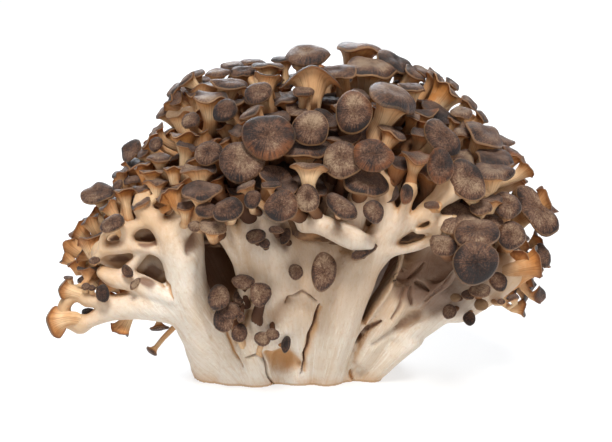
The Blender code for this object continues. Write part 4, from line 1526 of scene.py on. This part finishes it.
class Paint:
    """A material and the nodes in it."""

    def __init__(self, name: str) -> None:
        """Starts a material with its Principled shader."""
        self.material = bpy.data.materials.new(name)
        self.material.use_nodes = True
        self.tree = self.material.node_tree
        self.shader = self.tree.nodes["Principled BSDF"]

    def node(self, kind: str, settings: dict, values: dict, output: int | str = 0) -> Wire:
        """Adds a node.

        Args:
            kind: the node's type.
            settings: its own settings, which are set first.
            values: what goes into its sockets, by name or number: a number, a colour or a wire.
            output: the wanted output.

        Returns:
            The output's wire.
        """
        made = self.tree.nodes.new(kind)
        for key, setting in settings.items():
            setattr(made, key, setting)
        for key, value in values.items():
            self.feed(made.inputs[key], value)
        return Wire(self, made.outputs[output])

    def feed(self, socket: bpy.types.NodeSocket, value: "Wire | float | tuple") -> None:
        """Puts a wire, a number or a colour into a socket."""
        if isinstance(value, Wire):
            self.tree.links.new(value.socket, socket)
        elif isinstance(value, tuple) and len(value) == 3 and socket.type == "RGBA":
            socket.default_value = (*value, 1.0)
        else:
            socket.default_value = value

    def mark(self, name: str, vector: bool = False) -> Wire:
        """A mark that the mesh carries."""
        output = "Vector" if vector else "Fac"
        return self.node("ShaderNodeAttribute", {"attribute_name": name}, {}, output)

    def place(self) -> Wire:
        """The place on the object, in metres."""
        return self.node("ShaderNodeTexCoord", {}, {}, "Object")

    def moved(self, vector: Wire, operation: str, other: "Wire | tuple") -> Wire:
        """A Vector Math node on a vector."""
        return self.node("ShaderNodeVectorMath", {"operation": operation}, {0: vector, 1: other})

    def grain(self, vector: Wire, scale: float, detail: float = 3.0, rough: float = 0.55) -> Wire:
        """Fine irregular variation, around one half."""
        values = {"Vector": vector, "Scale": scale, "Detail": detail, "Roughness": rough}
        return self.node("ShaderNodeTexNoise", {}, values, 0)

    def blend(self, share: "Wire | float", first: "Wire | tuple", second: "Wire | tuple") -> Wire:
        """A colour between two, at a share."""
        return self.node("ShaderNodeMix", {"data_type": "RGBA"}, {0: share, 6: first, 7: second}, 2)

    def layers(self, colour: "Wire | tuple", coats: list[tuple["Wire | float", tuple]]) -> "Wire | tuple":
        """Lays colours over a first one, each at its share."""
        for share, coat in coats:
            colour = self.blend(share, colour, coat)
        return colour

    def set_inputs(self, values: dict[str, float | tuple]) -> None:
        """Sets the shader's inputs that are the same all over."""
        for name, value in values.items():
            self.shader.inputs[name].default_value = value

    def finish(
        self, colour: Wire, roughness: "Wire | float", bump: Wire, height: float
    ) -> bpy.types.Material:
        """Connects the shader.

        Args:
            colour: the base colour.
            roughness: the roughness.
            bump: the fine relief, from 0 to 1.
            height: how high the relief is, in metres.

        Returns:
            The material.
        """
        self.feed(self.shader.inputs["Base Color"], colour)
        self.feed(self.shader.inputs["Roughness"], roughness)
        normal = self.node("ShaderNodeBump", {}, {"Height": bump, "Distance": height, "Strength": 1.0})
        self.feed(self.shader.inputs["Normal"], normal)
        return self.material


Colour = tuple[float, float, float]


def flesh_inputs(depth: float, specular: float) -> dict[str, float | tuple]:
    """How flesh lets light in, to a depth in metres, and how much it shines."""
    return {
        "Subsurface Weight": 0.12,
        "Subsurface Radius": (1.0, 0.5, 0.25),
        "Subsurface Scale": depth,
        "Specular IOR Level": specular,
    }


@dataclass(frozen=True)
class StemFlesh:
    """The stems' skin: pale and matt, with faint streaks up the stem and a tan cut, and painted shade in the
    creases and hollows.
    """

    white: Colour = (0.80, 0.745, 0.655)
    pale: Colour = (0.73, 0.66, 0.565)
    cream: Colour = (0.65, 0.54, 0.42)
    # gold is partly painted shade, shade and deep are painted shade, and tan is both the streaks' colour and
    # painted shade.
    gold: Colour = (0.56, 0.35, 0.18)
    shade: Colour = (0.15, 0.065, 0.035)
    tan: Colour = (0.50, 0.30, 0.15)
    amber: Colour = (0.50, 0.24, 0.07)
    deep: Colour = (0.24, 0.12, 0.05)

    def material(self) -> bpy.types.Material:
        """Makes the material."""
        paint = Paint("stem_flesh")
        place = paint.place()
        away = paint.moved(place, "ADD", (0.0, 0.0, 0.03))
        way = paint.node("ShaderNodeVectorMath", {"operation": "NORMALIZE"}, {0: away})
        streak = paint.grain(way, 22.0, 4.0, 0.6)
        blotch = paint.grain(place, 55.0, 4.0, 0.6)
        fine = paint.grain(place, 700.0, 3.0, 0.7)
        thread = paint.grain(paint.moved(way, "MULTIPLY", (1.0, 1.0, 0.45)), 95.0, 4.0, 0.7)
        crease, sunk = paint.mark("crease"), paint.mark("sunk")
        height = paint.node("ShaderNodeSeparateXYZ", {}, {0: place}, 2)
        reach = paint.node("ShaderNodeVectorMath", {"operation": "LENGTH"}, {0: place}, "Value")
        edge = height.band(0.0050, 0.0008) * blotch.band(0.30, 0.60)
        coats = [
            (blotch.band(0.35, 0.68), self.cream),
            (streak.band(0.5, 0.72) * 0.35, self.tan),
            (thread.band(0.50, 0.70) * 0.30, self.tan),
            (fine.band(0.52, 0.70) * 0.26, self.tan),
            (thread.band(0.46, 0.34) * 0.55, self.white),
            # Painted shade: tan in the creases and deep under the crown, dark in the deepest creases.
            (crease.band(0.45, 0.95) * 0.8, self.tan),
            (sunk.band(0.15, 0.55) * 0.7, self.tan),
            (crease.band(0.8, 1.0) * 0.7, self.deep),
            # Golden further from the middle: partly the flesh's own tone, partly painted shade on the far
            # arms and the right stem.
            (reach.band(0.066, 0.096) * (0.35 + 0.9 * blotch), self.gold),
            # Amber along the seams, painted warm shade in one recess, then painted brown shade along seams
            # and recessed walls.
            (paint.mark("stain_and_warm_shade").band(0.05, 0.9) * 0.8, self.amber),
            (paint.mark("shade").band(0.03, 0.9) * (0.55 + 0.6 * blotch), self.shade),
            (edge * 0.45, self.amber),
            (height.band(0.0012, 0.0006) * 0.7, self.tan),
        ]
        paint.set_inputs(flesh_inputs(0.004, 0.4))
        relief = 0.35 * streak + 0.40 * thread + 0.10 * blotch + 0.15 * fine
        return paint.finish(paint.layers(self.pale, coats), 0.5 + 0.2 * blotch, relief, 0.0009)


@dataclass(frozen=True)
class FrondFlesh:
    """The stalks and the undersides of the caps: cream, golden towards the rim, and painted shade, tan to
    near black, deep in the crown.
    """

    cream: Colour = (0.77, 0.535, 0.31)
    gold: Colour = (0.52, 0.21, 0.054)
    tan: Colour = (0.205, 0.068, 0.019)
    edge: Colour = (0.085, 0.028, 0.011)
    # Painted shade deep in the crown.
    deep: Colour = (0.070, 0.026, 0.011)
    rim: Colour = (0.20, 0.095, 0.045)

    def material(self) -> bpy.types.Material:
        """Makes the material."""
        paint = Paint("frond_flesh")
        place = paint.place()
        fibre = paint.moved(paint.mark("fibre", True), "MULTIPLY", (9.0, 9.0, 0.7))
        ribs = paint.grain(fibre, 1.0, 4.0, 0.65)
        blotch = paint.grain(place, 90.0, 3.0)
        reach, sunk, luck = paint.mark("reach"), paint.mark("sunk"), paint.mark("luck")
        patch = paint.grain(place, 210.0, 3.0, 0.55).band(0.50, 0.66)
        coats = [
            (blotch.band(0.40, 0.62) * (0.4 + 0.6 * luck), self.gold),
            (reach.band(0.10, 0.65) * (0.45 + 0.6 * luck), self.gold),
            (ribs.band(0.46, 0.64) * 0.42, self.tan),
            (reach.band(0.66, 1.0) * (0.45 + 0.6 * luck), self.tan),
            (patch * reach.band(0.20, 0.75) * (0.25 + 0.6 * luck), self.tan),
            (reach.band(0.88, 1.0) * patch.band(-0.6, 0.8) * (0.3 + 0.7 * luck), self.edge),
            # Painted shade deep in the crown, tan to near black.
            (sunk.band(0.05, 0.20) * 0.8, self.tan),
            (sunk.band(0.13, 0.30), self.deep),
            (paint.mark("skin").band(0.1, 0.35), self.rim),
        ]
        paint.set_inputs(flesh_inputs(0.003, 0.25))
        relief = 0.7 * ribs + 0.3 * blotch
        return paint.finish(paint.layers(self.cream, coats), 0.55 + 0.15 * blotch, relief, 0.0004)


@dataclass(frozen=True)
class CapSkin:
    """The tops of the caps: brown to near black suede with fine radial fibrils and pale speckle, a painted
    highlight where they face up, and painted shade deep in the crown.
    """

    dark: Colour = (0.010, 0.004, 0.003)
    brown: Colour = (0.118, 0.050, 0.025)
    light: Colour = (0.33, 0.225, 0.14)
    rust: Colour = (0.25, 0.080, 0.022)
    painted_top_highlight: Colour = (0.30, 0.25, 0.22)
    rim: Colour = (0.40, 0.22, 0.10)
    cup: Colour = (0.26, 0.15, 0.07)
    # Painted shade for the caps deep in the crown.
    deep: Colour = (0.020, 0.008, 0.004)

    def material(self) -> bpy.types.Material:
        """Makes the material."""
        paint = Paint("cap_skin")
        place = paint.place()
        fibre = paint.mark("fibre", True)
        threads = paint.grain(paint.moved(fibre, "MULTIPLY", (24.0, 24.0, 1.8)), 1.0, 4.0, 0.7)
        speckle = paint.grain(place, 1600.0, 3.0, 0.75)
        cloud = paint.grain(place, 110.0, 3.0, 0.55)
        reach, tone, luck = paint.mark("reach"), paint.mark("tone"), paint.mark("luck")
        height = paint.node("ShaderNodeSeparateXYZ", {}, {0: place}, 2)
        # Where the painted shade falls: deep in the crown, from 60 to 72 mm up and higher.
        sunk = paint.mark("sunk") * height.band(0.060, 0.072)
        rubbed = luck.band(0.80, 0.90)
        level = 0.53 - 0.25 * tone.band(0.0, 0.7) + 0.12 * (luck - 0.4) + 1.6 * (cloud - 0.5)
        level = level + rubbed * (0.03 + 0.09 * reach.band(0.95, 0.30))
        level = level - (1.0 - rubbed) * (0.22 * (luck - 0.3)) * reach.band(0.75, 0.15) * 2.0
        level = level - 0.20 * reach.band(0.60, 0.92)
        level = level + 1.3 * (threads - 0.5) + 1.25 * (speckle - 0.5)
        ring = reach.band(0.55, 0.88) * tone.band(0.45, 0.95)
        coats = [
            (level.band(0.06, 0.44), self.brown),
            (level.band(0.38, 0.86), self.light),
            # A painted highlight on the faces that look up.
            (paint.mark("rise").band(0.50, 1.0) * (0.02 + 0.30 * cloud), self.painted_top_highlight),
            (ring * threads.band(0.30, 0.6) * cloud.band(0.40, 0.60) * 0.8, self.rust),
            (reach.band(0.945, 0.985) * (0.15 + 0.65 * luck), self.rim),
            (tone.band(-0.02, -0.12) * 0.85, self.cup),
            # Painted shade on the caps deep in the crown.
            (sunk.band(0.06, 0.28) * 0.85, self.deep),
        ]
        paint.set_inputs({
            "Sheen Weight": 0.06,
            "Sheen Roughness": 0.25,
            "Sheen Tint": (0.82, 0.88, 1.0, 1.0),
            "Specular IOR Level": 0.45,
        })
        relief = 0.6 * threads + 0.4 * speckle
        return paint.finish(paint.layers(self.dark, coats), 0.34 + 0.22 * threads, relief, 0.0006)


@dataclass(frozen=True)
class HeartPaintedShade:
    """Branchlets in the middle of the crown, painted dark brown as the shade between the stalks."""

    light: Colour = (0.34, 0.17, 0.07)
    dark: Colour = (0.080, 0.038, 0.020)

    def material(self) -> bpy.types.Material:
        """Makes the material."""
        paint = Paint("heart_painted_shade")
        blotch = paint.grain(paint.place(), 150.0, 4.0, 0.6)
        colour = paint.blend(blotch.band(0.35, 0.7), self.dark, self.light)
        return paint.finish(colour, 0.7, blotch, 0.001)


# ---------------------------------------------------------------------------------------------------------
# The studio.
# ---------------------------------------------------------------------------------------------------------


@dataclass(frozen=True)
class Sun:
    """A broad even light: the direction that it shines from, its strength, its angle and its colour."""

    place: tuple[float, float, float]
    power: float
    softness: float
    colour: Colour

    def build(self, name: str) -> None:
        """Lights it."""
        data = bpy.data.lights.new(name, "SUN")
        data.energy, data.angle, data.color = self.power, math.radians(self.softness), self.colour
        lamp = placed(name, data)
        lamp.location = self.place
        lamp.rotation_euler = (-Vector(self.place)).to_track_quat("-Z", "Y").to_euler()


@dataclass(frozen=True)
class Studio:
    """A pale floor, a white surround, soft lights and the camera.

    Distances are in metres, angles in degrees, and the lens and the sensor in millimetres.
    """

    camera_distance: float = 0.53
    camera_height_angle: float = 9.0
    target: tuple[float, float, float] = (0.0, 0.0, 0.0575)
    lens: float = 85.0
    sensor_width: float = 36.0
    overhead: Colour = (0.31, 0.31, 0.32)
    white_up_to: float = 0.03
    dim_from: float = 0.13
    surround_strength: float = 1.02
    floor_reach: float = 3.0
    floor_colour: Colour = (0.28, 0.28, 0.28)
    floor_glow: float = 0.69
    floor_roughness: float = 0.6
    key: Sun = Sun((0.04, -0.74, 0.98), 3.6, 20.0, (1.0, 0.98, 0.95))
    edge: Sun = Sun((-0.10, 0.90, 0.42), 1.3, 25.0, (0.86, 0.93, 1.0))

    def build(self) -> None:
        """Sets the studio up."""
        bpy.context.scene.view_settings.view_transform = "Standard"
        self.floor()
        self.surround()
        self.key.build("key")
        self.edge.build("edge")
        self.camera()

    def floor(self) -> None:
        """The pale floor."""
        bm = bmesh.new()
        bmesh.ops.create_grid(bm, x_segments=1, y_segments=1, size=self.floor_reach)
        mesh = mesh_of(bm, "floor")
        paint = Paint("floor_white")
        paint.set_inputs({
            "Base Color": (*self.floor_colour, 1.0),
            "Emission Color": (1.0, 1.0, 1.0, 1.0),
            "Emission Strength": self.floor_glow,
            "Roughness": self.floor_roughness,
        })
        mesh.materials.append(paint.material)
        placed("floor", mesh)

    def surround(self) -> None:
        """White low down all round, and dimmer overhead, so that hollows stay dark."""
        world = bpy.data.worlds.new("surround")
        world.use_nodes = True
        tree = world.node_tree
        way = tree.nodes.new("ShaderNodeTexCoord")
        split = tree.nodes.new("ShaderNodeSeparateXYZ")
        ramp = tree.nodes.new("ShaderNodeValToRGB")
        low, high = ramp.color_ramp.elements
        low.position, low.color = self.white_up_to, (1.0, 1.0, 1.0, 1.0)
        high.position, high.color = self.dim_from, (*self.overhead, 1.0)
        tree.links.new(way.outputs["Generated"], split.inputs[0])
        tree.links.new(split.outputs[2], ramp.inputs[0])
        tree.links.new(ramp.outputs[0], tree.nodes["Background"].inputs["Color"])
        tree.nodes["Background"].inputs["Strength"].default_value = self.surround_strength
        bpy.context.scene.world = world

    def camera(self) -> None:
        """The camera, a little above the mushroom's middle."""
        data = bpy.data.cameras.new("camera")
        data.lens, data.sensor_width = self.lens, self.sensor_width
        camera = placed("camera", data)
        rise = math.radians(self.camera_height_angle)
        back = Vector((0.0, -math.cos(rise), math.sin(rise)))
        camera.location = Vector(self.target) + back * self.camera_distance
        camera.rotation_euler = (-back).to_track_quat("-Z", "Y").to_euler()
        bpy.context.scene.camera = camera


def wear(piece: bpy.types.Object, materials: list[bpy.types.Material]) -> None:
    """Gives a piece its materials and its place on the mushroom."""
    for material in materials:
        piece.data.materials.append(material)
    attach(piece, BODY)
    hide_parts(NODE)
    LOG.info("%s: %d faces", piece.name, len(piece.data.polygons))


def main() -> None:
    """Builds every piece in order."""
    logging.basicConfig(level=logging.INFO, format="%(name)s: %(message)s")
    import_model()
    growth = Growth()
    fronds = Fronds(growth)
    planned = fronds.plan()
    LOG.info("%d fronds", len(planned))
    flesh, skin = FrondFlesh().material(), CapSkin().material()
    wear(StemMass(growth).build(fronds.sockets(planned)), [StemFlesh().material()])
    wear(Heart(growth).build(), [HeartPaintedShade().material()])
    for piece in fronds.build(planned):
        wear(piece, [flesh, skin])
    Studio().build()
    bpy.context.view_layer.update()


if __name__ == "__main__":
    main()
